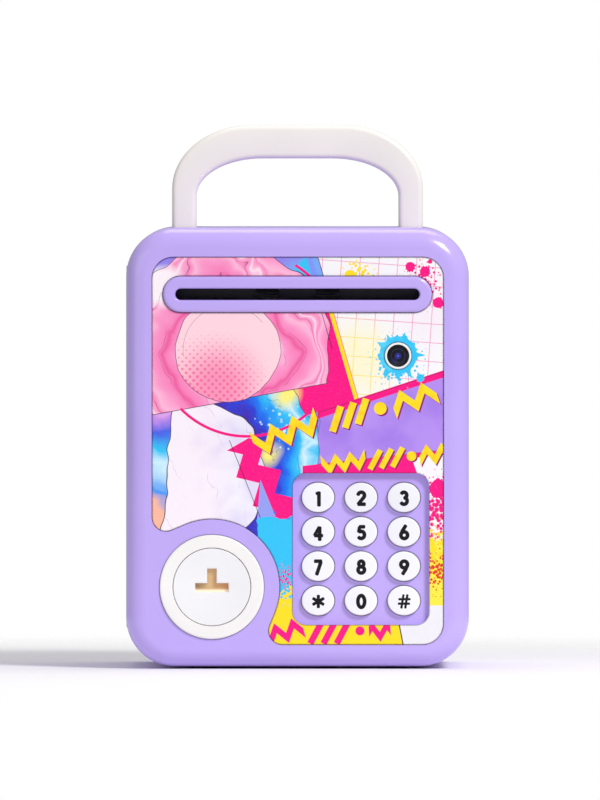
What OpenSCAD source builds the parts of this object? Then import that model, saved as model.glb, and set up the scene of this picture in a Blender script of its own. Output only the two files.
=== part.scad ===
// Toy safe money bank: a hinged front door with keypad, finger pad and note feed,
// a hollow case behind it and a carrying handle that folds back into the top.
// +Z is up, the front looks along -Y, and the feet stand on z = 0.

/* [Body] */
// Width of the body
body_w = 135; // [120:1:170]
// Height of the body without handle and feet
body_h = 173; // [160:1:215]
// Depth of the hinged door
door_d = 26; // [26:0.5:34]
// Depth of the rear case
case_d = 90.4; // [72:1:125]
// Radius of the four outer corners
corner_r = 19.3; // [14:0.5:26]
// Radius of the rounded front and back edges
edge_r = 7.6; // [5:0.2:10]
// Wall of the door
door_wall = 2.4; // [1.8:0.1:2.8]
// Wall of the door's front face
front_wall = 3.2; // [2.6:0.1:3.8]
// Wall of the case
case_wall = 2.6; // [1.8:0.1:3.2]
// Gap between the closed door and the case
parting_gap = 0.4; // [0.3:0.1:1]

/* [Feet] */
// Height that the feet stand proud
foot_h = 0.8; // [0.5:0.1:3]
// Radius of a foot
foot_r = 5.5; // [4:0.5:7]
// Distance of the feet from the middle
foot_x = 45; // [30:1:46]

/* [Handle] */
// Outer width of the handle
handle_w = 99.4; // [85:0.5:104]
// Height of the handle above its pivot
handle_h = 45.3; // [36:0.5:46]
// Width of a leg
handle_leg = 9.7; // [7:0.1:12]
// Height of the grip bar
handle_bar = 13.2; // [9:0.1:15]
// Thickness front to back
handle_t = 8; // [6:0.5:9]
// Depth of the pivot below the top
pivot_drop = 5; // [4.8:0.1:6]
// Radius of the pivot pins
pivot_pin_r = 2; // [1.5:0.1:2.4]
// Room beside the outer face of a leg
pocket_out = 1; // [0.6:0.1:2]
// Room beside the inner face of a leg
pocket_in = 3; // [1:0.1:4]
// Finger room in front of the folded grip bar
finger_room = 10; // [6:0.5:14]

/* [Door hinge] */
// Distance of the hinge line from the side
hinge_in = 4; // [3.8:0.1:4.6]
// Distance of the hinge line in front of the case
hinge_back = 6; // [6:0.1:7]
// Radius of a case knuckle
knuckle_r = 4; // [3.4:0.1:4.2]
// Length of a case knuckle
knuckle_l = 6; // [5:0.5:9]
// Height of the lower knuckle above the body's base
knuckle_z = 15.2; // [14:0.2:20]
// Radius of the hinge pins
hinge_pin_r = 1.5; // [1.2:0.1:1.8]

/* [Picture panel] */
// Left edge of the panel
panel_left = -57.2; // [-60:0.1:-55]
// Right edge of the panel
panel_right = 57.5; // [55:0.1:60]
// Lower edge above the body's base
panel_low = 8.8; // [8:0.1:12]
// Border between the panel's top and the body's top
panel_border = 11.7; // [9:0.1:16]
// Corner radius of the panel
panel_r = 8.3; // [5:0.1:10]
// Thickness of the panel
panel_t = 0.9; // [0.6:0.1:1.4]
// Radius of the round cut beside the finger pad
panel_arc_r = 26.8; // [25:0.1:28]
// Radius of the lobe above the finger pad
lobe_r = 5.4; // [4:0.1:6]

/* [Note slot] */
// Height of the slot's middle below the body's top
slot_drop = 26.3; // [24:0.1:32]
// Length of the slot
slot_w = 96; // [70:1:98]
// Height of the slot
slot_h = 4.5; // [4.3:0.1:5]
// Width of the raised frame round the slot
slot_frame_w = 105.8; // [102:0.2:107]
// Height of the raised frame
slot_frame_h = 14.05; // [11:0.05:16]
// How far the frame stands proud of the rim
slot_proud = 1.2; // [0.6:0.1:2]

/* [Keypad] */
// Middle of the keypad, sideways
pad_keys_x = 25; // [23:0.1:26]
// Middle of the keypad above the body's base
pad_keys_z = 46.4; // [44:0.1:50]
// Width of the recessed tray
tray_w = 53.7; // [52:0.1:56]
// Height of the recessed tray
tray_h = 59.7; // [57:0.1:61]
// Corner radius of the tray
tray_r = 5.3; // [3:0.1:8]
// Depth of the tray floor below the rim
tray_deep = 2.6; // [2:0.1:3]
// Column spacing of the keys
key_pitch_x = 16.9; // [15.6:0.1:17.2]
// Row spacing of the keys
key_pitch_z = 13.55; // [13.5:0.05:14]
// Width of a key
key_w = 12.9; // [11:0.1:13]
// Height of a key
key_h = 11.7; // [10:0.1:11.8]
// How far a key stands above the tray floor
key_proud = 2.3; // [1.6:0.1:2.6]
// Travel of a key
key_travel = 1.2; // [0.6:0.1:1.3]

/* [Finger pad] */
// Middle of the finger pad, sideways
disc_x = -33.7; // [-35:0.1:-32]
// Middle of the finger pad above the body's base
disc_z = 31.5; // [30:0.1:33]
// Outer radius of the white ring
ring_r = 20.55; // [19:0.05:21.5]
// Radius of the moving pad
disc_r = 15.25; // [14:0.05:15.6]
// How far the ring stands proud of the rim
ring_proud = 1; // [0.6:0.1:1.6]
// Travel of the pad
disc_travel = 1.5; // [0.8:0.1:1.6]

/* [Camera] */
// Middle of the lens, sideways
lens_x = 39.6; // [37:0.1:42]
// Middle of the lens above the body's base
lens_z = 122.5; // [118:0.1:124]
// Radius of the lens
lens_r = 4.35; // [3.5:0.05:5]
// Width of the ring round the lens
lens_ring = 0.9; // [0.6:0.1:1.6]

/* [Note feed] */
// Tooth module
gear_mod = 0.6; // [0.55:0.01:0.62]
// Teeth of the gear on the feed shaft
gear_teeth = 30; // [28:1:31]
// Teeth of the motor pinion
pinion_teeth = 12; // [12:1:14]
// Radius of the feed rollers
roller_r = 6; // [5:0.1:6.4]
// Radius of the idler rollers
idler_r = 4; // [3:0.1:5]
// Gap between feed and idler rollers
nip_gap = 0.5; // [0.4:0.1:0.8]
// Radius of the feed shaft
shaft_r = 1.5; // [1.2:0.1:1.8]
// Radius of the idler shaft
idler_shaft_r = 1.2; // [1:0.1:1.4]
// Distance of each roller from the middle
roller_x = 12; // [9:0.5:14]

/* [Latch] */
// Travel of the bolt
bolt_travel = 3.6; // [2.6:0.1:3.8]
// Height of the bolt above the body's base
bolt_z = 92; // [88:0.5:94]

/* [Clearances] */
// Seam round inset pieces
seam = 0.2; // [0.1:0.05:0.3]
// Radial running clearance of pins and shafts
run_gap = 0.05; // [0.02:0.01:0.09]
// Gap between a moving piece and its guide
slide_gap = 0.3; // [0.25:0.05:0.4]

/* [Hidden] */
KEYS = ["key_1", "key_2", "key_3", "key_4", "key_5", "key_6",
        "key_7", "key_8", "key_9", "key_star", "key_0", "key_hash"];
$fn = 96;

lilac = [0.76, 0.68, 0.96];
white = [0.95, 0.94, 0.96];
steel = [0.72, 0.73, 0.75];
black = [0.07, 0.07, 0.08];
board_green = [0.10, 0.38, 0.22];
amber = [0.93, 0.72, 0.42];
rubber_grey = [0.45, 0.45, 0.48];

eps = 0.01;
press_gap = 0.01;               // what is pressed on a shaft
over = 1;                       // overshoot of a cut past a face

// Places, all from the driving sizes
total_d = slot_proud + door_d + parting_gap + case_d;
rim_y = slot_proud - total_d / 2;      // the rim of the door's front face
case_front = door_d + parting_gap;     // depths are measured back from the rim
case_back = case_front + case_d;
base_z = foot_h;
top_z = base_z + body_h;
mid_z = base_z + body_h / 2;
floor_d = panel_t + 0.1;               // depth of the panel's recess
cover_t = 1.8;
cover_d = door_d - 0.2 - cover_t;      // front face of the door's inner cover

slot_z = top_z - slot_drop;
keys_z = base_z + pad_keys_z;
pad_z = base_z + disc_z;
cam_z = base_z + lens_z;
latch_z = base_z + bolt_z;

hinge_x = -body_w / 2 + hinge_in;
hinge_d = case_front - hinge_back;
knuckles = [base_z + knuckle_z, top_z - knuckle_z - knuckle_l];
pin_grip = 5;                          // length of pin held by the door at each end
pin_boss_r = 3.6;
pin_boss_l = pin_grip + 1;
notch_r = knuckle_r + 0.5;
neck_left = 2.5;
neck_right = 3.5;
notch_right = 5.5;

pivot_z = top_z - pivot_drop;
leg_in = handle_w / 2 - handle_leg;    // inner face of a leg
channel_floor = pivot_z - handle_t / 2 - 0.8;
channel_wall = 2.4;
channel_back = handle_h + 1.5;
handle_corner = [31.5, 25.2];          // the outer corner is a quarter of an ellipse
handle_inner_corner = [26, 15];
island_corner = [14, 9];

tray_back = tray_deep + 1.8;
key_flange_t = 0.8;
key_flange_d = tray_back + slide_gap;
key_flange_grow = 0.6;
stem_r = 2.2;
mat_t = 0.8;
board_t = 1.2;
mat_d = 9.6;                           // front face of the rubber mat's sheet
keypad_board_d = mat_d + mat_t;
mat_ring_d = key_flange_d + key_flange_t + key_travel + 0.3;
stem_end_d = mat_d - key_travel - 0.2;
keypad_board_w = tray_w + 6;
keypad_board_h = tray_h + 3;

ring_back = 4.6;
disc_flange_d = ring_back + slide_gap;
disc_flange_t = 1.1;
disc_flange_r = disc_r + 2.1;
disc_front = -0.7;
dish_deep = 0.8;
disc_plate_d = 1.8;                    // back of the dished plate
pad_board_d = 9.9;
pad_board_r = 24.4;
pad_post_r = 21.6;
dome_d = disc_flange_d + disc_flange_t + disc_travel + 0.2;
switch_at = [0, -10.3];
switch_h = 3.4;
switch_stem = 1.3;
t_bar = [13.1, 3.5];
t_stem = [3.7, 5.7];
t_low = -2;

feed_d = 13.6;                         // depth of the roller shafts
feed_z = slot_z - nip_gap / 2 - roller_r;
idler_z = slot_z + nip_gap / 2 + idler_r;
gear_apart = gear_mod * (gear_teeth + pinion_teeth) / 2 + 0.05;
motor_z = feed_z - gear_apart;
motor_r = gear_apart - shaft_r - 1.15;
motor_flat = 0.76 * motor_r;
motor_l = 25;
motor_shaft_r = 1;
side_x = slot_w / 2 + 1.8;             // inner face of the feed frame's side plates
side_t = 1.8;
gear_w = 2.8;
gear_x = side_x + side_t + 1;
roller_w = 9;
chute_wall = 1.2;
chute_d = 5.6;
frame_end_d = cover_d - 0.1;

cell_r = 7.25;
cell_l = 49;
nub_r = 2.75;
nub_l = 1.5;
cell_gap = 0.25;
bay_wall = 1.2;
contact_room = 1.6;                    // room for a contact at each end of the cells
bay_x = -body_w / 2 + 5.5;
bay_w = cell_l + nub_l + 2 * contact_room + 2 * bay_wall;
bay_h = 3 * (2 * cell_r + cell_gap) + 1 + 2 * bay_wall;
bay_z = base_z + 57;
bay_mid_z = bay_z + bay_h / 2;
bay_back_d = cover_d + cover_t;
lid_t = 1.7;
lid_ledge = 0.7;
bay_front_d = bay_back_d - lid_t - 2 * cell_r - 1 - bay_wall;
cell_d = bay_front_d + bay_wall + cell_r + 0.3;

speaker_at = [18, 92];
speaker_r = 11.5;

board_x = 5;
board_z = 119;
board_w = 46;
board_h = 22;
board_d = 10;

keeper_t = bolt_travel - 1.1;            // the thrown bolt stops just short of the wall
keeper_x = body_w / 2 - case_wall - keeper_t;
keeper_d = case_front + 0.2;
bolt_tip = keeper_x - 1.2;
bolt_head_d = case_front + 2.8;
bolt_head_t = 4;
bolt_half = 4;
bolt_d = 17.5;
slider_x = 52;
coil_x = 34;
coil_l = 14;
plunger_r = 2;

screw_r = 0.9;
screw_head_r = 1.9;
cover_posts = [[-60, body_h - 59], [-57, 50], [-8, 8], [57, 8.5], [58, 78],
               [56, body_h - 15], [0, body_h - 10], [-50, body_h - 11]];
cover_post_r = 2.6;

// ---- helpers -------------------------------------------------------------

// An outline in x and z, extruded from depth d0 to depth d1 behind the rim
module slab(d0, d1) {
    translate([0, rim_y + d1, 0]) rotate([90, 0, 0]) linear_extrude(d1 - d0) children();
}

// A profile of radius and depth, turned about an axis that runs front to back
module turned(x, z) {
    translate([x, rim_y, z]) rotate([-90, 0, 0]) rotate_extrude() children();
}

// A round bar along x
module bar_x(x0, x1, d, z, r) {
    translate([x0, rim_y + d, z]) rotate([0, 90, 0]) cylinder(r = r, h = x1 - x0);
}

// A box from its lowest corner [x, depth, z] to its highest
module block(low, high) {
    translate([low[0], rim_y + low[1], low[2]]) cube(high - low);
}

module rounded(w, h, r) {
    square([w - 2 * r, h], center = true);
    square([w, h - 2 * r], center = true);
    for (sx = [-1, 1], sz = [-1, 1])
        translate([sx * (w / 2 - r), sz * (h / 2 - r)]) circle(r);
}

module pill(w, h) {
    square([w - h, h], center = true);
    for (s = [-1, 1]) translate([s * (w - h) / 2, 0]) circle(d = h);
}

module oval(w, h) {
    scale([1, h / w]) circle(d = w);
}

// Half section through an edge: radius outwards in x, depth in y, front edge rounded by f
module edge_profile(r, f, d) {
    square([r - f, d]);
    translate([0, f]) square([r, d - f]);
    translate([r - f, f]) circle(f);
}

// A block with rounded corners and a rounded front edge, its front face on y = 0
module soft_block(w, h, r, f, d) {
    cx = w / 2 - r;
    cz = h / 2 - r;
    for (k = [0 : 3]) {
        sx = [1, -1, -1, 1][k];
        sz = [1, 1, -1, -1][k];
        translate([sx * cx, 0, sz * cz]) rotate([0, -90 * k, 0])
            mirror([0, 0, 1]) rotate([-90, 0, 0]) rotate_extrude(angle = 90) edge_profile(r, f, d);
        bar_l = 2 * (k % 2 == 0 ? cz : cx);
        reach = k % 2 == 0 ? cx : cz;
        if (bar_l > eps)
            rotate([0, -90 * k, 0]) translate([reach, 0, 0])
                linear_extrude(bar_l, center = true) edge_profile(r, f, d);
    }
    if (cz > eps) translate([-cx, 0, -cz]) cube([2 * cx, d, 2 * cz]);
}

// A screw whose head sits at depth d and whose shank points to the front
module screw(x, z, d, l) {
    turned(x, z) {
        translate([0, d - l]) square([screw_r, l]);
        translate([0, d]) square([screw_head_r, 1.1]);
    }
}

// Directions for the straight stretch between two circles that curve opposite ways
function toward(a) = [cos(a), sin(a)];
function cross_angle(a, b, ra, rb, side) =
    atan2(b[1] - a[1], b[0] - a[0]) + side * acos(min(1, (ra + rb) / norm(b - a)));

// Involute spur gear outline
function inv_point(rb, t) = [rb * (cos(t) + t * PI / 180 * sin(t)), rb * (sin(t) - t * PI / 180 * cos(t))];
function spin(p, a) = [p[0] * cos(a) - p[1] * sin(a), p[0] * sin(a) + p[1] * cos(a)];
function tooth(teeth, mod, k) =
    let (rp = mod * teeth / 2,
         pressure = 25,
         rb = rp * cos(pressure),
         ro = rp + 0.9 * mod,
         rr = rp - 1.15 * mod,
         steps = 4,
         t_out = sqrt(pow(ro / rb, 2) - 1) * 180 / PI,
         t_in = rr > rb ? sqrt(pow(rr / rb, 2) - 1) * 180 / PI : 0,
         lead = (tan(pressure) - pressure * PI / 180) * 180 / PI,
         half = 90 / teeth - 0.06 / rp * 180 / PI + lead,
         flank = [for (i = [0 : steps]) inv_point(rb, t_in + (t_out - t_in) * i / steps)],
         turn = 360 * k / teeth)
    concat([spin([rr, 0], turn - half + 0.01)],
           [for (p = flank) spin(p, turn - half)],
           [for (i = [steps : -1 : 0]) spin([flank[i][0], -flank[i][1]], turn + half)],
           [spin([rr, 0], turn + half - 0.01)]);

module spur(teeth, mod, phase) {
    rotate(phase) polygon([for (k = [0 : teeth - 1]) each tooth(teeth, mod, k)]);
}

// ---- outlines shared by several pieces -----------------------------------

// The picture panel's edge, grown outwards by g
module panel_edge(g) {
    low = base_z + panel_low;
    high = top_z - panel_border;
    big = [disc_x, pad_z];
    big_r = panel_arc_r - g;
    left_lobe = [panel_left + lobe_r, low + lobe_r + 44.6];
    right_lobe = [disc_x + panel_arc_r + 0.95, low + lobe_r];
    lr = lobe_r + g;
    a1 = cross_angle(big, right_lobe, big_r, lr, 1);
    a2 = cross_angle(big, left_lobe, big_r, lr, -1);
    difference() {
        union() {
            difference() {
                translate([(panel_left + panel_right) / 2, (low + high) / 2])
                    rounded(panel_right - panel_left + 2 * g, high - low + 2 * g, panel_r + g);
                polygon([big + big_r * toward(a1), right_lobe - lr * toward(a1), right_lobe,
                         [right_lobe[0], low - 5], [panel_left - 5, low - 5],
                         [panel_left - 5, left_lobe[1]], left_lobe,
                         left_lobe - lr * toward(a2), big + big_r * toward(a2), big]);
            }
            translate(left_lobe) circle(lr);
            translate(right_lobe) circle(lr);
        }
        translate(big) circle(big_r);
    }
}

function corner_points(w, h, corner) =
    [for (a = [0 : 7.5 : 90])
        [w / 2 - corner[0] * (1 - cos(a)), h - corner[1] * (1 - sin(a))]];

// Outline of an arch in x and height, with elliptical shoulders
module arch(w, h, corner) {
    right = corner_points(w, h, corner);
    left = [for (i = [len(right) - 1 : -1 : 0]) [-right[i][0], right[i][1]]];
    polygon(concat([[w / 2, 0]], right, left, [[-w / 2, 0]]));
}

// The U of the handle: grown by out at the outside and by inn towards its opening
module handle_edge(out, inn) {
    difference() {
        arch(handle_w + 2 * out, handle_h + out, handle_corner + [out, out]);
        translate([0, -eps])
            arch(2 * (leg_in - inn), handle_h - handle_bar - inn, handle_inner_corner);
    }
}

// Places of the twelve keys
function key_at(i) = [pad_keys_x + (i % 3 - 1) * key_pitch_x, keys_z + (1.5 - floor(i / 3)) * key_pitch_z];

// Posts that carry the boards, each [x, z]
keypad_posts = [for (sx = [-1, 1], sz = [-1, 1])
    [pad_keys_x + sx * (keypad_board_w / 2 - 1.6), keys_z + sz * (keypad_board_h / 2 - 1.8)]];
disc_posts = [for (a = [90, 210, 330]) [disc_x + pad_post_r * cos(a), pad_z + pad_post_r * sin(a)]];
board_posts = [for (sx = [-1, 1], sz = [-1, 1])
    [board_x + sx * (board_w / 2 - 2.4), base_z + board_z + sz * (board_h / 2 - 2.4)]];

// Room for the case knuckles, cut from the door and its cover
module hinge_notches() {
    for (z = knuckles) {
        translate([hinge_x, rim_y + hinge_d, z - 0.3]) cylinder(r = notch_r, h = knuckle_l + 0.6);
        block([hinge_x - hinge_in - over, hinge_d - notch_r, z - 0.3],
              [hinge_x + notch_right, case_front + over, z + knuckle_l + 0.3]);
    }
}

// ---- case ----------------------------------------------------------------

// The U-shaped channel that takes the folded handle
module handle_channel() {
    translate([0, 0, channel_floor]) linear_extrude(top_z - channel_floor + over) {
        intersection() {
            handle_edge_ground(pocket_out, pocket_in);
            translate([-body_w / 2, 0]) square([body_w, body_h]);
        }
        for (s = [-1, 1])
            translate([s * (leg_in - pocket_in + (handle_leg + pocket_in + pocket_out) / 2), 0])
                square([handle_leg + pocket_in + pocket_out, handle_t + 2 * slide_gap], center = true);
    }
}

// The handle's outline laid back on the top, with its pivot on y = 0
module handle_edge_ground(out, inn) {
    difference() {
        arch(handle_w + 2 * out, channel_back, handle_corner + [out, out]);
        translate([0, -over])
            arch(2 * (leg_in - inn), handle_h - handle_bar - finger_room + over, island_corner);
    }
}

module channel_shell() {
    low = channel_floor - channel_wall;
    translate([0, 0, low]) linear_extrude(top_z - low - edge_r / 4)
        difference() {
            translate([0, -handle_t / 2 - slide_gap - channel_wall])
                arch(handle_w + 2 * (pocket_out + channel_wall),
                     channel_back + handle_t / 2 + slide_gap + 2 * channel_wall,
                     handle_corner + [pocket_out, pocket_out]);
            translate([0, handle_t / 2 + slide_gap + channel_wall])
                arch(2 * (leg_in - pocket_in - channel_wall),
                     handle_h - handle_bar - finger_room - handle_t / 2 - slide_gap - 2 * channel_wall,
                     island_corner / 2);
        }
}

module rear_case() {
    color(lilac) difference() {
        union() {
            difference() {
                translate([0, rim_y + case_back, mid_z]) mirror([0, 1, 0])
                    soft_block(body_w, body_h, corner_r, edge_r, case_d);
                translate([0, rim_y + case_back - case_wall, mid_z]) mirror([0, 1, 0])
                    soft_block(body_w - 2 * case_wall, body_h - 2 * case_wall,
                               corner_r - case_wall, edge_r - case_wall, case_d);
            }
            channel_shell();
            for (z = knuckles) {
                translate([hinge_x, rim_y + hinge_d, z]) cylinder(r = knuckle_r, h = knuckle_l);
                block([hinge_x - neck_left, hinge_d, z],
                      [hinge_x + neck_right, case_front + 9, z + knuckle_l]);
            }
        }
        handle_channel();
        // bores of the handle and hinge pins
        for (s = [-1, 1]) mirror([s < 0 ? 1 : 0, 0, 0])
            translate([leg_in - pocket_in - 1.8, 0, pivot_z]) rotate([0, 90, 0])
                cylinder(r = pivot_pin_r + run_gap, h = handle_leg + pocket_in + pocket_out + 3.6);
        for (z = knuckles)
            translate([hinge_x, rim_y + hinge_d, z - over])
                cylinder(r = hinge_pin_r + run_gap, h = knuckle_l + 2 * over);
        // seats of the feet
        for (p = foot_places) translate([p[0], p[1], base_z - over]) cylinder(r = foot_r, h = over + 1);
        for (p = keeper_screw_places) bar_x(keeper_x, body_w / 2 - case_wall + 1.4, p[0], p[1], screw_r);
    }
}

foot_places = [for (sx = [-1, 1], y = [case_front + foot_r + 2, case_back - edge_r - foot_r - 3])
    [sx * foot_x, rim_y + y]];

module rubber_feet() {
    color(rubber_grey) for (p = foot_places)
        translate([p[0], p[1], 0]) rotate_extrude() {
            translate([0, 0.4]) square([foot_r - run_gap, foot_h + 0.6]);
            square([foot_r - 0.5, 0.5]);
        }
}

module handle_pins() {
    color(steel) for (s = [-1, 1]) mirror([s < 0 ? 1 : 0, 0, 0])
        translate([leg_in - pocket_in - 1.7, 0, pivot_z]) rotate([0, 90, 0])
            cylinder(r = pivot_pin_r, h = handle_leg + pocket_in + pocket_out + 3.4);
}

module hinge_pins() {
    color(steel) for (z = knuckles)
        translate([hinge_x, rim_y + hinge_d, z - pin_grip]) cylinder(r = hinge_pin_r, h = knuckle_l + 2 * pin_grip);
}

keeper_half = 10;
keeper_screw_places = [for (s = [-1, 1]) [bolt_head_d + bolt_head_t / 2, latch_z + s * (keeper_half - 2.6)]];

module latch_keeper() {
    color(steel) difference() {
        block([keeper_x, keeper_d, latch_z - keeper_half],
              [body_w / 2 - case_wall, bolt_head_d + bolt_head_t + 3, latch_z + keeper_half]);
        block([keeper_x - over, bolt_head_d - slide_gap, latch_z - bolt_half - slide_gap],
              [body_w / 2, bolt_head_d + bolt_head_t + slide_gap, latch_z + bolt_half + slide_gap]);
        for (p = keeper_screw_places) bar_x(keeper_x - over, body_w / 2, p[0], p[1], screw_r);
    }
}

module keeper_screws() {
    color(steel) for (p = keeper_screw_places) {
        bar_x(keeper_x, body_w / 2 - case_wall + 1.3, p[0], p[1], screw_r);
        bar_x(keeper_x - 0.7, keeper_x, p[0], p[1], screw_head_r);
    }
}

module carry_handle() {
    color(white) difference() {
        union() {
            translate([0, handle_t / 2, pivot_z]) rotate([90, 0, 0]) linear_extrude(handle_t)
                handle_edge(0, 0);
            for (s = [-1, 1]) mirror([s < 0 ? 1 : 0, 0, 0])
                translate([leg_in, 0, pivot_z]) rotate([0, 90, 0]) cylinder(d = handle_t, h = handle_leg);
        }
        for (s = [-1, 1]) mirror([s < 0 ? 1 : 0, 0, 0])
            translate([leg_in - over, 0, pivot_z]) rotate([0, 90, 0])
                cylinder(r = pivot_pin_r + run_gap, h = handle_leg + 2 * over);
    }
}

// ---- door ----------------------------------------------------------------

module door_shell() {
    color(lilac) difference() {
        union() {
            difference() {
                translate([0, rim_y, mid_z]) soft_block(body_w, body_h, corner_r, edge_r, door_d);
                translate([0, rim_y + front_wall, mid_z])
                    soft_block(body_w - 2 * door_wall, body_h - 2 * door_wall,
                               corner_r - door_wall, edge_r - door_wall, door_d);
            }
            // back of the keypad tray
            translate([pad_keys_x, 0, keys_z]) slab(front_wall - over, tray_back)
                rounded(tray_w + 3.6, tray_h + 3.6, tray_r + 1.8);
            for (p = keypad_posts) post(p, keypad_board_d, 2);
            for (p = disc_posts) post(p, pad_board_d, 2.2);
            for (p = board_posts) post(p, board_d, 2.2);
            for (p = cover_posts) post([p[0], base_z + p[1]], cover_d, cover_post_r);
            intersection() {
                translate([0, rim_y, mid_z]) soft_block(body_w, body_h, corner_r, edge_r, door_d);
                hinge_bosses();
            }
        }
        slab(-over, floor_d) panel_edge(seam);
        translate([pad_keys_x, 0, keys_z]) slab(-over, tray_deep) rounded(tray_w, tray_h, tray_r);
        for (i = [0 : 11]) translate([key_at(i)[0], 0, key_at(i)[1]])
            slab(0, tray_back + over) oval(key_w + 2 * slide_gap, key_h + 2 * slide_gap);
        // note slot, finger pad and lens
        translate([0, 0, slot_z]) slab(0, front_wall + over) pill(slot_w + 2 * 1.6 + 2 * seam, slot_h + 2 * 1.6 + 2 * seam);
        turned(disc_x, pad_z) {
            translate([0, -over]) square([ring_r + seam, over + 0.6]);
            square([disc_r + 3.25, front_wall + over]);
        }
        turned(lens_x, cam_z) square([lens_r + run_gap, front_wall + over]);
        // pilot holes
        for (p = concat(keypad_posts, disc_posts, board_posts)) pilot(p, board_d, 6);
        for (p = cover_posts) pilot([p[0], base_z + p[1]], cover_d, 7);
        // hinge side: room for the knuckles, pins and swing
        hinge_notches();
        for (z = knuckles)
            translate([hinge_x, rim_y + hinge_d, z - pin_grip - run_gap])
                cylinder(r = hinge_pin_r + run_gap, h = knuckle_l + 2 * pin_grip + 2 * run_gap);
        swing_relief();
    }
}

module post(p, d, r) {
    translate([p[0], 0, p[1]]) slab(front_wall - over, d) circle(r);
}

module pilot(p, d, l) {
    translate([p[0], 0, p[1]]) slab(d - l, d + 2) circle(screw_r);
}

// Bosses above and below each knuckle, which hold the ends of the hinge pins
module hinge_bosses() {
    for (z = knuckles, s = [-1, 1])
        translate([hinge_x, rim_y + hinge_d, s < 0 ? z - 0.3 - pin_boss_l : z + knuckle_l + 0.3]) {
            cylinder(r = pin_boss_r, h = pin_boss_l);
            translate([-hinge_in, -pin_boss_r, 0]) cube([hinge_in, 2 * pin_boss_r, pin_boss_l]);
        }
}

// The door's rear edge is rounded about the hinge line so that it clears the case
module swing_relief() {
    swing_r = hinge_back - parting_gap + 0.1;
    translate([0, 0, base_z - over]) difference() {
        translate([hinge_x - hinge_in - over, rim_y + hinge_d, 0]) cube([hinge_in + over, hinge_back, body_h + 2 * over]);
        translate([hinge_x, rim_y + hinge_d, -over]) cylinder(r = swing_r, h = body_h + 4 * over);
    }
}

module picture_panel() {
    color([0.96, 0.55, 0.80]) slab(floor_d - panel_t, floor_d) difference() {
        panel_edge(0);
        translate([0, slot_z]) pill(slot_frame_w + 2 * seam, slot_frame_h + 2 * seam);
        translate([pad_keys_x, keys_z]) rounded(tray_w, tray_h, tray_r);
        translate([lens_x, cam_z]) circle(lens_r + lens_ring + seam / 2);
    }
}

module slot_frame() {
    color(lilac) difference() {
        union() {
            translate([0, rim_y - slot_proud, slot_z])
                soft_block(slot_frame_w, slot_frame_h, slot_frame_h / 2, 0.9, slot_proud + floor_d);
            translate([0, 0, slot_z]) slab(floor_d - eps, chute_d - 0.1) pill(slot_w + 3.2, slot_h + 3.2);
        }
        translate([0, 0, slot_z]) slab(-slot_proud - over, chute_d + over) pill(slot_w, slot_h);
    }
}

module pad_ring() {
    tube_r = disc_r + 3.05;
    hole_r = disc_r + 0.2;
    color(white) turned(disc_x, pad_z) {
        polygon([[hole_r, -ring_proud], [hole_r + 1, -ring_proud], [ring_r - 0.5, -ring_proud + 0.45],
                 [ring_r, -ring_proud + 0.9], [ring_r, 0.6], [hole_r, 0.6]]);
        translate([hole_r, 0]) square([tube_r - hole_r, ring_back]);
    }
}

module finger_pad() {
    bowl_r = (disc_r * disc_r + dish_deep * dish_deep) / (2 * dish_deep);
    color(white) difference() {
        union() {
            turned(disc_x, pad_z) {
                difference() {
                    translate([0, disc_front]) square([disc_r, disc_plate_d - disc_front]);
                    translate([0, disc_front + dish_deep - bowl_r]) circle(bowl_r, $fn = 360);
                }
                translate([disc_r - 1.8, disc_plate_d - eps])
                    square([1.8, disc_flange_d - disc_plate_d + eps]);
                translate([disc_r - 1.8, disc_flange_d])
                    square([disc_flange_r - disc_r + 1.8, disc_flange_t]);
            }
            translate([disc_x + switch_at[0], 0, pad_z + switch_at[1]])
                slab(disc_plate_d - eps, pad_board_d - switch_h - disc_travel - 0.05) circle(1.6);
        }
        translate([disc_x, 0, pad_z]) slab(-2, disc_plate_d + over) t_shape();
    }
}

// The window in the middle of the finger pad
module t_shape() {
    translate([-t_bar[0] / 2, t_low]) square(t_bar);
    translate([-t_stem[0] / 2, t_low + t_bar[1] - eps]) square([t_stem[0], t_stem[1] + eps]);
}

module light_guide() {
    color(amber) translate([disc_x, 0, pad_z + 2.2]) slab(disc_plate_d, disc_plate_d + 1.5) rounded(19, 14, 2);
}

module pad_dome() {
    color(rubber_grey) turned(disc_x, pad_z)
        translate([disc_r - 1.2, dome_d]) square([2.8, pad_board_d - dome_d]);
}

module pad_board() {
    color(board_green) translate([disc_x, 0, pad_z]) slab(pad_board_d, pad_board_d + board_t) difference() {
        circle(pad_board_r);
        for (p = disc_posts) translate(p - [disc_x, pad_z]) circle(screw_r);
    }
}

module pad_led() {
    color("white") turned(disc_x, pad_z + 2) {
        translate([0, pad_board_d - 2]) square([1.9, 2]);
        intersection() {
            translate([0, pad_board_d - 2]) circle(1.5);
            translate([0, pad_board_d - 4]) square([1.5, 2]);
        }
    }
}

module pad_switch() {
    sx = disc_x + switch_at[0];
    sz = pad_z + switch_at[1];
    color(black) {
        block([sx - 3, pad_board_d - switch_h + switch_stem, sz - 3], [sx + 3, pad_board_d, sz + 3]);
        turned(sx, sz) translate([0, pad_board_d - switch_h]) square([1.7, switch_stem + 0.1]);
    }
}

module lens_ring_trim() {
    color(white) turned(lens_x, cam_z) polygon([
        [lens_r + run_gap, -0.1], [lens_r + 0.3, -0.35], [lens_r + lens_ring - 0.25, -0.35],
        [lens_r + lens_ring, -0.1], [lens_r + lens_ring, floor_d], [lens_r + run_gap, floor_d]]);
}

module lens_glass() {
    dome_r = 14;
    color(black) turned(lens_x, cam_z) intersection() {
        square([lens_r, 1.4]);
        translate([0, dome_r - 0.1]) circle(dome_r, $fn = 360);
    }
}

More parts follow.
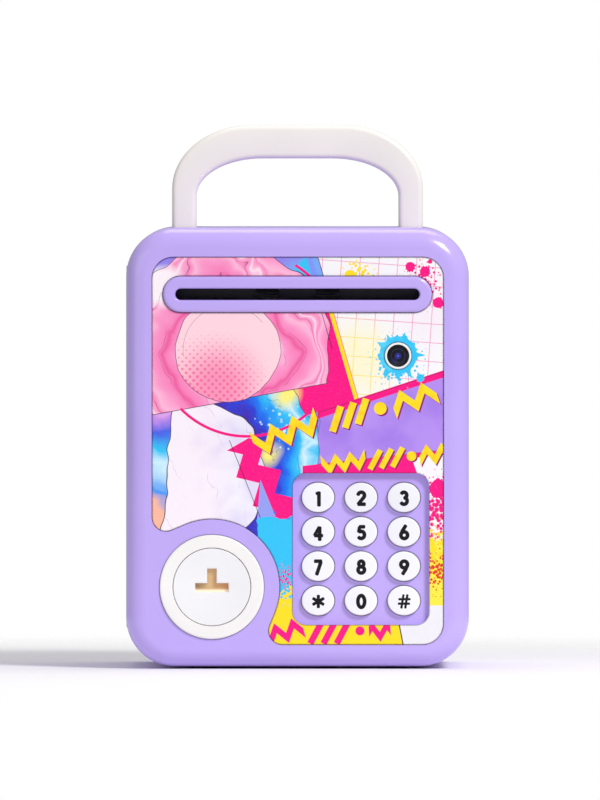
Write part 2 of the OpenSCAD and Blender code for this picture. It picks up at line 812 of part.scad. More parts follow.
module camera_barrel() {
    color(black) turned(lens_x, cam_z) {
        translate([0, 1.4]) square([lens_r, 3]);
        translate([0, 4.3]) square([lens_r - 0.6, 3.2]);
    }
}

module camera_board() {
    color(board_green) translate([lens_x, 0, cam_z]) slab(7.5, 7.5 + board_t) rounded(16, 14, 1);
}

module key_mat() {
    color([0.85, 0.85, 0.88]) difference() {
        union() {
            translate([pad_keys_x, 0, keys_z]) slab(mat_d, mat_d + mat_t) rounded(tray_w - 2, tray_h - 3, 2);
            for (i = [0 : 11]) turned(key_at(i)[0], key_at(i)[1])
                translate([0, mat_ring_d]) square([stem_r + 1.5, mat_d - mat_ring_d + eps]);
        }
        for (i = [0 : 11]) turned(key_at(i)[0], key_at(i)[1])
            translate([0, mat_ring_d - over]) square([stem_r + 0.6, mat_d - mat_ring_d + over]);
        for (p = keypad_posts) translate([p[0], 0, p[1]]) slab(mat_d - over, mat_d + mat_t + over) circle(2.3);
    }
}

module keypad_board() {
    color(board_green) difference() {
        translate([pad_keys_x, 0, keys_z]) slab(keypad_board_d, keypad_board_d + board_t)
            rounded(keypad_board_w, keypad_board_h, 1.5);
        for (p = keypad_posts) translate([p[0], 0, p[1]]) slab(keypad_board_d - over, keypad_board_d + 3) circle(screw_r);
    }
}

module key(i) {
    at = key_at(i);
    cap_front = tray_deep - key_proud;
    color(white) translate([at[0], 0, at[1]]) {
        slab(cap_front + 0.5, key_flange_d + eps) oval(key_w, key_h);
        slab(cap_front + 0.15, cap_front + 0.5 + eps) oval(key_w - 0.6, key_h - 0.6);
        slab(cap_front, cap_front + 0.15 + eps) oval(key_w - 1.4, key_h - 1.4);
        slab(key_flange_d, key_flange_d + key_flange_t) oval(key_w + 2 * key_flange_grow, key_h + 2 * key_flange_grow);
        slab(key_flange_d + key_flange_t - eps, stem_end_d) circle(stem_r);
    }
}

module main_board() {
    color(board_green) difference() {
        translate([board_x, 0, base_z + board_z]) slab(board_d, board_d + board_t) rounded(board_w, board_h, 1);
        for (p = board_posts) translate([p[0], 0, p[1]]) slab(board_d - over, board_d + 3) circle(screw_r);
    }
}

module board_chips() {
    back = board_d + board_t;
    color(black) {
        translate([board_x - 8, 0, base_z + board_z]) slab(back, back + 1.6) rounded(10, 10, 0.5);
        translate([board_x + 7, 0, base_z + board_z + 3]) slab(back, back + 1.5) rounded(8, 5, 0.4);
        for (x = [3, 7.5, 12]) turned(board_x + x, base_z + board_z - 5) translate([0, back]) square([1.8, 4.5]);
    }
}

module board_screws() {
    color(steel) {
        for (p = keypad_posts) screw(p[0], p[1], keypad_board_d + board_t, 5.5);
        for (p = disc_posts) screw(p[0], p[1], pad_board_d + board_t, 5);
        for (p = board_posts) screw(p[0], p[1], board_d + board_t, 5.5);
    }
}

// Flat cable between the keypad and the main board, folded over both boards' edges
module ribbon_cable() {
    x0 = 8;
    x1 = 20;
    t = 0.5;
    low = keys_z + keypad_board_h / 2 - 7;
    high = base_z + board_z - board_h / 2 + 3;
    d_low = keypad_board_d + board_t;
    d_high = board_d + board_t;
    d_run = 15.4;
    color([0.8, 0.8, 0.82]) {
        block([x0, d_low, low], [x1, d_run, low + t]);
        block([x0, d_run - t, low], [x1, d_run, high]);
        block([x0, d_high, high - t], [x1, d_run, high]);
    }
}

// ---- note feed -----------------------------------------------------------

module feed_frame() {
    half_w = slot_w / 2 + 0.5;
    half_h = slot_h / 2 + 0.1;
    color([0.30, 0.30, 0.33]) difference() {
        union() {
            for (s = [-1, 1])
                block([-side_x - eps, chute_d, slot_z + s * (half_h + chute_wall / 2) - chute_wall / 2],
                      [side_x + eps, frame_end_d, slot_z + s * (half_h + chute_wall / 2) + chute_wall / 2]);
            for (s = [-1, 1]) mirror([s < 0 ? 1 : 0, 0, 0])
                block([half_w, chute_d, slot_z - half_h - chute_wall],
                      [side_x + eps, frame_end_d, slot_z + half_h + chute_wall]);
            block([-side_x - side_t, chute_d, motor_z - 8.5],
                  [-side_x, frame_end_d, idler_z + 4.5]);
            block([side_x, chute_d, feed_z - 4.5], [side_x + side_t, frame_end_d, idler_z + 4.5]);
        }
        // windows for the rollers
        for (s = [-1, 1]) {
            block([s * roller_x - roller_w / 2 - 0.8, feed_d - roller_r - 0.6, feed_z],
                  [s * roller_x + roller_w / 2 + 0.8, feed_d + roller_r + 0.6, slot_z]);
            block([s * roller_x - roller_w / 2 - 0.8, feed_d - idler_r - 0.6, slot_z],
                  [s * roller_x + roller_w / 2 + 0.8, feed_d + idler_r + 0.6, idler_z]);
        }
        bar_x(-body_w / 2, body_w / 2, feed_d, feed_z, shaft_r + run_gap);
        bar_x(-body_w / 2, body_w / 2, feed_d, idler_z, idler_shaft_r + run_gap);
        bar_x(-side_x - side_t - over, -side_x + over, feed_d, motor_z, 3);
    }
}

module feed_motor() {
    color(steel) difference() {
        union() {
            intersection() {
                bar_x(-side_x + run_gap, -side_x + motor_l, feed_d, motor_z, motor_r);
                block([-side_x, feed_d - motor_flat, motor_z - motor_r - over],
                      [-side_x + motor_l + over, feed_d + motor_flat, motor_z + motor_r + over]);
            }
            bar_x(-side_x - 1.4, -side_x + over, feed_d, motor_z, 2.9);
        }
        bar_x(-side_x - 2, -side_x + 12, feed_d, motor_z, motor_shaft_r + run_gap);
    }
}

module feed_shaft() {
    color(steel) bar_x(-gear_x - gear_w - 1, side_x + side_t + 1.5, feed_d, feed_z, shaft_r);
}

module gear_blank(teeth, z, bore, phase) {
    translate([-gear_x - gear_w, rim_y + feed_d, z]) rotate([90, 0, 90]) linear_extrude(gear_w)
        difference() {
            spur(teeth, gear_mod, phase);
            circle(bore + press_gap);
        }
}

module feed_gear() {
    color(white) {
        gear_blank(gear_teeth, feed_z, shaft_r, -90);
        translate([-gear_x - eps, rim_y + feed_d, feed_z]) rotate([0, 90, 0]) difference() {
            cylinder(r = shaft_r + 1.6, h = 0.8);
            translate([0, 0, -over]) cylinder(r = shaft_r + press_gap, h = 3);
        }
    }
}

module motor_pinion() {
    color("white") gear_blank(pinion_teeth, motor_z, motor_shaft_r, 90 + 180 / pinion_teeth);
}

module motor_shaft() {
    color(steel) bar_x(-gear_x - gear_w - 0.6, -side_x + 11.8, feed_d, motor_z, motor_shaft_r);
}

module roller_pair(z, r, bore) {
    for (s = [-1, 1])
        translate([s * roller_x - roller_w / 2, rim_y + feed_d, z]) rotate([0, 90, 0]) difference() {
            cylinder(r = r, h = roller_w);
            translate([0, 0, -over]) cylinder(r = bore + press_gap, h = roller_w + 2 * over);
        }
}

module feed_rollers() { color(rubber_grey) roller_pair(feed_z, roller_r, shaft_r); }
module idler_rollers() { color(rubber_grey) roller_pair(idler_z, idler_r, idler_shaft_r); }
module idler_shaft() { color(steel) bar_x(-side_x - side_t - 1, side_x + side_t + 1, feed_d, idler_z, idler_shaft_r); }

// ---- power, sound and lock -----------------------------------------------

module battery_box() {
    inner_w = bay_w - 2 * bay_wall;
    inner_h = bay_h - 2 * bay_wall;
    color([0.28, 0.28, 0.31]) difference() {
        union() {
            block([bay_x, bay_front_d, bay_z], [bay_x + bay_w, bay_back_d, bay_z + bay_h]);
            block([bay_x - 1.2, cover_d - 1.4, bay_z - 1.8], [bay_x + bay_w + 2, cover_d - 0.1, bay_z + bay_h + 1.8]);
        }
        block([bay_x + bay_wall, bay_front_d + bay_wall, bay_z + bay_wall],
              [bay_x + bay_wall + inner_w, bay_back_d + over, bay_z + bay_wall + inner_h]);
        block([bay_x + bay_wall - lid_ledge, bay_back_d - lid_t, bay_z + bay_wall - lid_ledge],
              [bay_x + bay_wall + inner_w + lid_ledge, bay_back_d + over, bay_z + bay_wall + inner_h + lid_ledge]);
    }
}

function cell_z(k) = bay_mid_z + (k - 1) * (2 * cell_r + cell_gap);
cell_x0 = bay_x + bay_w / 2 - (cell_l + nub_l) / 2;

module aa_cells() {
    color([0.75, 0.55, 0.2]) for (k = [0 : 2]) {
        flip = k % 2;
        bar_x(cell_x0 + flip * nub_l, cell_x0 + flip * nub_l + cell_l, cell_d, cell_z(k), cell_r);
        bar_x(cell_x0 + (1 - flip) * cell_l, cell_x0 + (1 - flip) * cell_l + nub_l, cell_d, cell_z(k), nub_r);
    }
}

module battery_contacts() {
    plate_t = 0.4;
    in_left = bay_x + bay_wall;
    in_right = bay_x + bay_w - bay_wall;
    color(steel) for (k = [0 : 2], s = [-1, 1]) {
        face = s < 0 ? cell_x0 : cell_x0 + cell_l + nub_l;
        wall = s < 0 ? in_left : in_right;
        block([min(wall, wall - s * plate_t), cell_d - 5, cell_z(k) - 5],
              [max(wall, wall - s * plate_t), cell_d + 5, cell_z(k) + 5]);
        bar_x(min(wall - s * plate_t, face), max(wall - s * plate_t, face), cell_d, cell_z(k), 2.4);
    }
}

lid_screw_at = [bay_x + bay_w - 2.4, bay_mid_z + cell_r + cell_gap / 2];

module battery_lid() {
    inner_w = bay_w - 2 * bay_wall;
    inner_h = bay_h - 2 * bay_wall;
    color(lilac) difference() {
        translate([bay_x + bay_w / 2, 0, bay_mid_z]) slab(bay_back_d - lid_t, bay_back_d)
            square([inner_w + 2 * lid_ledge - seam, inner_h + 2 * lid_ledge - seam], center = true);
        for (x = [-1 : 1], z = [-1 : 1])
            translate([bay_x + bay_w / 2 + 6 * x, 0, bay_mid_z + 12 * z])
                slab(bay_back_d - 0.6, bay_back_d + over) square([4, 1.2], center = true);
        translate([lid_screw_at[0], 0, lid_screw_at[1]]) slab(bay_back_d - 3, bay_back_d + over) circle(screw_r);
    }
}

module battery_screw() {
    color(steel) turned(lid_screw_at[0], lid_screw_at[1]) {
        translate([0, bay_back_d - lid_t - 1.5]) square([screw_r, lid_t + 1.5]);
        translate([0, bay_back_d]) square([screw_head_r, 0.9]);
    }
}

module speaker() {
    color(black) turned(speaker_at[0], base_z + speaker_at[1]) {
        translate([0, cover_d - 2]) square([speaker_r, 1.9]);
        translate([0, cover_d - 5.5]) square([speaker_r / 2, 3.6]);
    }
}

module latch_coil() {
    color([0.72, 0.42, 0.16]) difference() {
        block([coil_x, bolt_d - 6.4, latch_z - 6], [coil_x + coil_l, cover_d - 0.1, latch_z + 6]);
        bar_x(coil_x - over, coil_x + coil_l + over, bolt_d, latch_z, plunger_r + run_gap);
    }
}

module latch_plunger() {
    color(steel) bar_x(coil_x + 2, slider_x, bolt_d, latch_z, plunger_r);
}

module latch_bolt() {
    neck_w = 4;
    color(steel) {
        block([slider_x, bolt_d - 3, latch_z - bolt_half], [slider_x + neck_w + 1, cover_d - 0.6, latch_z + bolt_half]);
        block([slider_x + 1, cover_d - 0.6 - eps, latch_z - bolt_half],
              [slider_x + 1 + neck_w, bolt_head_d + bolt_head_t, latch_z + bolt_half]);
        block([slider_x + 1, bolt_head_d, latch_z - bolt_half],
              [bolt_tip, bolt_head_d + bolt_head_t, latch_z + bolt_half]);
    }
}

module door_cover() {
    inset = door_wall + seam;
    color([0.80, 0.73, 0.95]) difference() {
        union() {
            translate([0, 0, mid_z]) slab(cover_d, cover_d + cover_t)
                rounded(body_w - 2 * inset, body_h - 2 * inset, corner_r - inset);
            turned(speaker_at[0], base_z + speaker_at[1])
                translate([speaker_r + 0.2, cover_d - 1.8]) square([1.2, 2]);
        }
        // note exit, battery box, bolt and speaker grille
        translate([0, 0, slot_z]) slab(cover_d - over, door_d + over) square([slot_w, slot_h], center = true);
        block([bay_x - seam / 2, cover_d - over, bay_z - seam / 2],
              [bay_x + bay_w + seam / 2, door_d + over, bay_z + bay_h + seam / 2]);
        block([slider_x + 1 - slide_gap, cover_d - over, latch_z - bolt_half - slide_gap],
              [slider_x + 5 + bolt_travel + slide_gap, door_d + over, latch_z + bolt_half + slide_gap]);
        for (ring = [0 : 2], k = [0 : max(0, 6 * ring - 1)])
            translate([speaker_at[0] + 3.6 * ring * cos(60 * k / max(1, ring)), 0,
                       base_z + speaker_at[1] + 3.6 * ring * sin(60 * k / max(1, ring))])
                slab(cover_d - over, door_d + over) circle(0.9, $fn = 24);
        for (p = cover_posts) translate([p[0], 0, base_z + p[1]]) slab(cover_d - over, door_d + over) circle(screw_r);
        hinge_notches();
        block([-body_w / 2, cover_d - over, base_z], [hinge_x + 0.5, door_d + over, top_z]);
    }
}

module cover_screws() {
    color(steel) for (p = cover_posts) screw(p[0], base_z + p[1], cover_d + cover_t, 7.5);
}

// ---- drawing -------------------------------------------------------------

rear_case();
rubber_feet();
handle_pins();
hinge_pins();
latch_keeper();
keeper_screws();
carry_handle();
door_shell();
picture_panel();
slot_frame();
pad_ring();
lens_ring_trim();
lens_glass();
camera_barrel();
camera_board();
key_mat();
keypad_board();
pad_dome();
pad_board();
pad_led();
pad_switch();
main_board();
board_chips();
board_screws();
ribbon_cable();
feed_frame();
feed_motor();
speaker();
latch_coil();
battery_box();
battery_contacts();
aa_cells();
battery_lid();
battery_screw();
door_cover();
cover_screws();
finger_pad();
light_guide();
feed_shaft();
feed_gear();
feed_rollers();
idler_shaft();
idler_rollers();
motor_shaft();
motor_pinion();
latch_bolt();
latch_plunger();
for (i = [0 : 11]) key(i);
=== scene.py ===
import math

import bmesh
import bpy
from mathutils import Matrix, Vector


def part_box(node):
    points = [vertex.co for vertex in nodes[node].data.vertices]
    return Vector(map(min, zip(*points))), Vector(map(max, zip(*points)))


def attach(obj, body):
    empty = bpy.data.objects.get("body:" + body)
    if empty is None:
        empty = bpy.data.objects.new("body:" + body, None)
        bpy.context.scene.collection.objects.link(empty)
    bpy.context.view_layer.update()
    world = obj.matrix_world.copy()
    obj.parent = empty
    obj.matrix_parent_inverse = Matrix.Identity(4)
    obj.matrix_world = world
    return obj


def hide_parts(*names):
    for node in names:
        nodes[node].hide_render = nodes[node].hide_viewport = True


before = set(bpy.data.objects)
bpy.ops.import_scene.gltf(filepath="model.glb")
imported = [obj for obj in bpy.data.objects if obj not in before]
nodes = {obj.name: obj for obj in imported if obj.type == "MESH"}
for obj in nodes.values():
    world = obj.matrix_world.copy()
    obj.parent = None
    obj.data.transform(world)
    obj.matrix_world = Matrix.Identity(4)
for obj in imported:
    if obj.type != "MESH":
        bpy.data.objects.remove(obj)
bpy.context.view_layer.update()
print("frame loaded,", len(nodes), "CAD nodes")

mm = 0.001


def tone(red, green, blue):  # a screen colour as the shader takes it
    parts = [c / 255 for c in (red, green, blue)]
    return tuple(c / 12.92 if c < 0.04 else ((c + 0.055) / 1.055) ** 2.4 for c in parts) + (1,)


def shaded(colour, times, plus=0.0):
    return tuple(min(1, c * times + plus) for c in colour[:3]) + (1,)


class Wire:  # a socket that sums can be written with
    def __init__(self, finish, socket):
        self.finish = finish
        self.socket = socket

    def calc(self, operation, *others, clamp=False):
        values = dict(enumerate((self,) + others))
        return self.finish.node("ShaderNodeMath", {"operation": operation, "use_clamp": clamp}, values)

    def __add__(self, other):
        return self.calc("ADD", other)

    def __radd__(self, other):
        return self.calc("ADD", other)

    def __sub__(self, other):
        return self.calc("SUBTRACT", other)

    def __rsub__(self, other):
        return self.finish.node("ShaderNodeMath", {"operation": "SUBTRACT"}, {0: other, 1: self})

    def __mul__(self, other):
        return self.calc("MULTIPLY", other)

    def __rmul__(self, other):
        return self.calc("MULTIPLY", other)

    def __truediv__(self, other):
        return self.calc("DIVIDE", other)

    def __rtruediv__(self, other):
        return self.finish.node("ShaderNodeMath", {"operation": "DIVIDE"}, {0: other, 1: self})

    def __pow__(self, other):
        return self.calc("POWER", other)

    def __neg__(self):
        return self.calc("MULTIPLY", -1.0)

    def __abs__(self):
        return self.calc("ABSOLUTE")

    def clamped(self):  # held between 0 and 1
        return self.calc("ADD", 0.0, clamp=True)

    def least(self, other):
        return self.calc("MINIMUM", other)

    def most(self, other):
        return self.calc("MAXIMUM", other)

    def vector(self, operation, *others, out=0):
        values = dict(enumerate((self,) + others))
        return self.finish.node("ShaderNodeVectorMath", {"operation": operation}, values, out)

    def dot(self, other):
        return self.vector("DOT_PRODUCT", other, out="Value")

    def length(self):
        return self.vector("LENGTH", out="Value")

    def within(self, soft=0.14):  # 1 where a distance is below 0
        return self.calc("MULTIPLY_ADD", -1 / soft, 0.5, clamp=True)

    def fade(self, start, end):  # 0 at start to 1 at end, eased
        return self.finish.node("ShaderNodeMapRange", {"interpolation_type": "SMOOTHSTEP"},
                                {0: self, 1: start, 2: end, 3: 0.0, 4: 1.0})


class Finish:  # one material, built up node by node
    def __init__(self, name, fixed=None):
        self.material = bpy.data.materials.new(name)
        self.material.use_nodes = True
        self.tree = self.material.node_tree
        self.tree.nodes.clear()
        self.shader = self.tree.nodes.new("ShaderNodeBsdfPrincipled")
        output = self.tree.nodes.new("ShaderNodeOutputMaterial")
        self.tree.links.new(self.shader.outputs[0], output.inputs[0])
        for key, value in (fixed or {}).items():
            self.shader.inputs[key].default_value = value
        place = self.node("ShaderNodeTexCoord", out="Object")
        self.place = place.vector("MULTIPLY", (1000, 1000, 1000))  # millimetres
        self.axes = None

    def node(self, kind, settings=None, values=None, out=0):
        made = self.tree.nodes.new(kind)
        for key, value in (settings or {}).items():
            if key == "stops":
                stops = made.color_ramp.elements
                while len(stops) < len(value):
                    stops.new(0.5)
                for stop, (position, colour) in zip(stops, value):
                    stop.position = position
                    stop.color = colour
            else:
                setattr(made, key, value)
        for key, value in (values or {}).items():
            if isinstance(value, Wire):
                self.tree.links.new(value.socket, made.inputs[key])
            else:
                made.inputs[key].default_value = value
        return Wire(self, made.outputs[out])

    def feed(self, colour, rough, normal, more=None):
        sockets = {"Base Color": colour, "Roughness": rough, "Normal": normal}
        sockets.update(more or {})
        for key, value in sockets.items():
            self.tree.links.new(value.socket, self.shader.inputs[key])

    def axis(self, letter):
        if self.axes is None:
            self.axes = self.tree.nodes.new("ShaderNodeSeparateXYZ")
            self.tree.links.new(self.place.socket, self.axes.inputs[0])
        return Wire(self, self.axes.outputs[letter])

    def noise(self, scale, detail=2.0, where=None, out=0, stretch=None, roughness=0.5):
        where = where or self.place
        if stretch:
            where = where.vector("MULTIPLY", stretch)
        return self.node("ShaderNodeTexNoise", None, {"Vector": where, "Scale": scale, "Detail": detail,
                                                     "Roughness": roughness}, out)

    def cells(self, scale, where=None, out="Distance", feature="F1", jitter=1.0):
        return self.node("ShaderNodeTexVoronoi", {"feature": feature},
                         {"Vector": where or self.place, "Scale": scale, "Randomness": jitter}, out)

    def mix(self, mask, under, over, blend="MIX"):
        return self.node("ShaderNodeMix", {"data_type": "RGBA", "blend_type": blend},
                         {0: mask, 6: under, 7: over}, 2)

    def ramp(self, value, stops):
        return self.node("ShaderNodeValToRGB", {"stops": stops}, {0: value})

    def bump(self, height, strength, depth, under=None):
        values = {"Height": height, "Strength": strength, "Distance": depth}
        if under:
            values["Normal"] = under
        return self.node("ShaderNodeBump", None, values)

    def eased(self, radius):  # normals rounded over at the edges, in metres
        return self.node("ShaderNodeBevel", {"samples": 4}, {"Radius": radius})

    def edges(self, eased):  # 1 along the edges, 0 on the flats
        flat = self.node("ShaderNodeNewGeometry", out="Normal")
        return (1 - eased.dot(flat)).calc("MULTIPLY", 6.0, clamp=True)


# finishes, one function each

def mouldedPlastic(name, colour, gloss=0.24, coat=0.35, edge=0.0003, orange=0.35, wear=0.5, deep=None):
    finish = Finish(name, {"Coat Weight": coat, "Coat Roughness": 0.08, "IOR": 1.5})
    wide = finish.noise(0.022, 2)
    fine = finish.noise(2.4, 3)
    base = finish.mix(wide.fade(0.3, 0.7), deep or shaded(colour, 0.94), colour)
    base = finish.mix(fine.fade(0.58, 0.8) * 0.10, base, shaded(colour, 1.08))
    eased = finish.eased(edge)
    edges = finish.edges(eased)
    base = finish.mix(edges * 0.35 * wear, base, shaded(colour, 0.75, 0.25))
    smudge = finish.noise(0.06, 4, roughness=0.6)
    scratch = finish.noise(1.0, 2, stretch=(6.0, 0.6, 0.09)).fade(0.66, 0.74)
    rough = gloss + (smudge - 0.5) * 0.10 + scratch * 0.06 * wear + edges * 0.10 * wear
    skin = finish.noise(0.9, 2) * orange + finish.noise(7.0, 2) * 0.25 - scratch * 0.3 * wear
    finish.feed(base, rough, finish.bump(skin, 0.10, 0.00006, eased))
    return finish.material


def roughRubber(name, colour, grain=5.0):
    finish = Finish(name, {"Specular IOR Level": 0.35, "Sheen Weight": 0.15})
    dust = finish.noise(0.3, 4).fade(0.5, 0.75)
    base = finish.mix(dust * 0.25, colour, shaded(colour, 0.6, 0.25))
    pores = finish.cells(grain)
    eased = finish.eased(0.00025)
    finish.feed(base, 0.62 + dust * 0.2,
                finish.bump(pores + finish.noise(grain * 2) * 0.5, 0.25, 0.00008, eased))
    return finish.material


def turnedMetal(name, colour, brush=(0.3, 12.0, 12.0), rough=0.28, tarnish=0.2):
    finish = Finish(name, {"Metallic": 1.0})
    streak = finish.noise(1.0, 3, stretch=brush)
    stain = finish.noise(0.25, 4, roughness=0.65).fade(0.5, 0.8)
    base = finish.mix(streak * 0.35, colour, shaded(colour, 0.72))
    base = finish.mix(stain * tarnish, base, (0.16, 0.13, 0.10, 1))
    eased = finish.eased(0.0001)
    finish.feed(base, rough + streak * 0.14 + stain * 0.18, finish.bump(streak, 0.18, 0.00003, eased))
    return finish.material


def circuitBoard(name):
    finish = Finish(name, {"Coat Weight": 0.5, "Coat Roughness": 0.15, "Specular IOR Level": 0.4})
    x, z = finish.axis("X"), finish.axis("Z")
    lane = finish.noise(0.16, 1).fade(0.47, 0.5)
    across = (x.calc("PINGPONG", 0.9) - 0.3).within(0.1) * lane
    along = (z.calc("PINGPONG", 0.9) - 0.3).within(0.1) * (1 - lane)
    copper = across.most(along)
    vias = (finish.cells(0.42) - 0.14).within(0.05)
    base = finish.mix(finish.noise(0.2, 3) * 0.5, (0.012, 0.135, 0.05, 1), (0.02, 0.20, 0.08, 1))
    base = finish.mix(copper * 0.55, base, (0.05, 0.34, 0.14, 1))
    base = finish.mix(vias, base, (0.62, 0.58, 0.45, 1))
    finish.feed(base, 0.32 + finish.noise(1.2, 2) * 0.15, finish.bump(copper + vias * 1.4, 0.3, 0.00005),
                {"Metallic": vias * 0.8})
    return finish.material


def woundCopper(name):
    finish = Finish(name, {"Metallic": 1.0})
    turns = finish.axis("X").calc("PINGPONG", 0.2) * 5
    # painted shade and highlight: each turn is dark where it meets the next and bright along its crest
    base = finish.mix(turns, (0.28, 0.09, 0.03, 1), (0.78, 0.36, 0.16, 1))
    finish.feed(base, 0.3 + finish.noise(2.0, 2) * 0.2, finish.bump(turns, 0.6, 0.0002))
    return finish.material


def ribbonWires(name):
    finish = Finish(name, {"Coat Weight": 0.2})
    ridgesAndShade = finish.axis("X").calc("PINGPONG", 0.5) * 2
    # painted shade and highlight: the grey darkens in the grooves between the wires and lightens on their
    # ridges
    base = finish.mix(ridgesAndShade.fade(0.1, 0.5), (0.25, 0.26, 0.28, 1), (0.62, 0.63, 0.66, 1))
    finish.feed(base, 0.45 + finish.noise(1.0, 2) * 0.1, finish.bump(ridgesAndShade, 0.7, 0.0002))
    return finish.material


sleeveLook = {"band": 13.0, "stripe": 13.6, "stripeHalf": 0.35, "ends": 22.5}


def cellSleeve(name):
    finish = Finish(name, {"Coat Weight": 0.6, "Coat Roughness": 0.1})
    low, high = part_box("aa_cells")
    out = abs(finish.axis("X") - (low.x + high.x) / 2 / mm)  # distance from the middle of the row of cells
    band = (out - sleeveLook["band"]).within(0.2)
    base = finish.mix(band, (0.62, 0.30, 0.09, 1), (0.02, 0.02, 0.025, 1))
    stripe = (abs(out - sleeveLook["stripe"]) - sleeveLook["stripeHalf"]).within(0.1)
    base = finish.mix(stripe, base, (0.85, 0.80, 0.66, 1))
    ends = (sleeveLook["ends"] - out).within(0.2)
    base = finish.mix(ends, base, (0.7, 0.7, 0.72, 1))
    scuff = finish.noise(0.8, 4).fade(0.6, 0.75)
    finish.feed(base, 0.28 + scuff * 0.2, finish.bump(scuff, 0.12, 0.00004), {"Metallic": 0.35 + ends * 0.5})
    return finish.material


# painted glow: the amber gives off light in its own colour, though no lamp lights it
def clearAmber(name, paintedGlow):
    finish = Finish(name, {"Coat Weight": 0.4, "Coat Roughness": 0.1, "Transmission Weight": 0.12, "IOR": 1.5,
                           "Emission Strength": paintedGlow})
    low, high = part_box("light_guide")
    across = (finish.axis("X") - (low.x + high.x) / 2 / mm) / 13
    upward = (finish.axis("Z") - (low.z / mm + 2.9)) / 9
    # amber, with painted shade: darker towards the left of the window
    body = finish.ramp((across + 0.5).clamped(),
                       [(0.0, tone(150, 118, 84)), (0.45, tone(196, 162, 116)), (1.0, tone(186, 122, 70))])
    # painted highlight: cream along the bottom edge of the window
    body = finish.mix(upward.fade(0.16, 0.02), body, tone(255, 240, 214))
    body = finish.mix(finish.noise(0.5, 3) * 0.25, body, tone(214, 186, 140))
    finish.feed(body, 0.32 + finish.noise(1.4, 2) * 0.16, finish.bump(finish.noise(1.2, 2), 0.15, 0.0001),
                {"Emission Color": body})
    return finish.material


def lensGlass(name):
    low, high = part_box("lens_glass")
    centre = ((low.x + high.x) / 2 / mm, 0, (low.z + high.z) / 2 / mm)
    finish = Finish(name, {"Coat Weight": 0.25, "Coat Roughness": 0.02, "IOR": 1.5,
                           "Specular IOR Level": 0.25})
    out = finish.place.vector("SUBTRACT", centre).vector("MULTIPLY", (1, 0, 1))
    reach = out.length()
    # rings inside the lens; the blue in the middle and round it is a painted reflection
    rings = finish.ramp(reach / 4.6, [
        (0.0, tone(96, 110, 226)), (0.12, tone(34, 36, 140)), (0.24, tone(44, 44, 120)),
        (0.30, tone(10, 12, 26)), (0.52, tone(10, 10, 22)), (0.60, tone(40, 44, 70)),
        (0.66, tone(5, 5, 9)), (0.86, tone(12, 12, 18)), (1.0, tone(4, 4, 6))])
    # painted reflection: a patchy blue gleam added over the rings
    gleam = finish.noise(0.35, 2, where=out).fade(0.5, 0.7)
    base = finish.mix(gleam * 0.5, rings, tone(26, 40, 104), "ADD")
    finish.feed(base, 0.08 + finish.noise(1.5, 3) * 0.06,
                finish.bump(reach.calc("PINGPONG", 0.35), 0.15, 0.00004))
    return finish.material


def glossInk(name):
    finish = Finish(name, {"Specular IOR Level": 0.2})
    worn = finish.noise(2.5, 4).fade(0.62, 0.8)
    base = finish.mix(worn * 0.25, (0.006, 0.005, 0.008, 1), (0.05, 0.045, 0.06, 1))
    finish.feed(base, 0.5 + worn * 0.2, finish.bump(finish.noise(6.0, 2), 0.1, 0.00002))
    return finish.material


# the printed panel is drawn as loose abstract shapes, all in millimetres

panelLook = {
    "gridStep": 7.4, "swirlAt": (-27.5, 125.5), "swirl": 41.0, "sun": 20.5, "ringAt": (-44.0, 76.0),
    "ring": 54.0, "core": 31.5, "wedgeTop": (8.0, 162.0), "wedgeTip": (24.2, 106.2),
    "bandRight": (58.0, 117.3), "lowLeft": (6.0, 80.4), "lowRight": (58.0, 86.3),
}
panelInks = {
    "ink": (34, 12, 52), "paper": (247, 245, 249), "gridLine": (240, 150, 190), "magenta": (250, 0, 132),
    "pink": (250, 138, 192), "softPink": (255, 214, 224), "deepPink": (238, 92, 160),
    "violet": (182, 144, 240), "indigo": (62, 40, 180), "blue": (20, 118, 240), "cyan": (48, 196, 246),
    "ice": (206, 240, 255), "yellow": (255, 224, 24), "lemon": (255, 243, 120), "cloud": (246, 243, 252),
    "shade": (206, 196, 240), "cornerPaper": (238, 236, 242), "strokeShade": (150, 18, 104),
    "splashLight": (88, 214, 250), "ember": (226, 60, 40), "deepBlue": (40, 60, 215),
    "periwinkle": (110, 120, 240), "peach": (255, 196, 160), "rose": (250, 130, 190),
    "blueThread": (36, 24, 120), "warmCloud": (255, 236, 246), "hatch": (150, 110, 190),
    "apricot": (252, 186, 160), "azure": (60, 150, 246), "iris": (70, 96, 232), "orchid": (226, 160, 236),
    "cobalt": (40, 90, 222), "slashTip": (150, 160, 240), "swirlRose": (250, 130, 188),
    "swirlPink": (252, 152, 202), "swirlPale": (255, 186, 218), "swirlSoft": (252, 170, 210),
    "swirlLight": (255, 226, 240), "swirlGlint": (255, 244, 250), "pinkThread": (140, 24, 92),
    "sunBlush": (250, 150, 186), "sunDots": (244, 96, 150), "paperSun": (255, 246, 170),
    "paperRose": (246, 226, 240), "gridSun": (248, 224, 96), "marginBlue": (128, 150, 246),
    "violetDeep": (164, 124, 232), "yellowDeep": (255, 206, 16), "stripYellow": (250, 236, 70),
    "gapViolet": (150, 128, 236), "gapBlue": (122, 168, 246),
}
panelLook.update({name: tone(*levels) for name, levels in panelInks.items()})

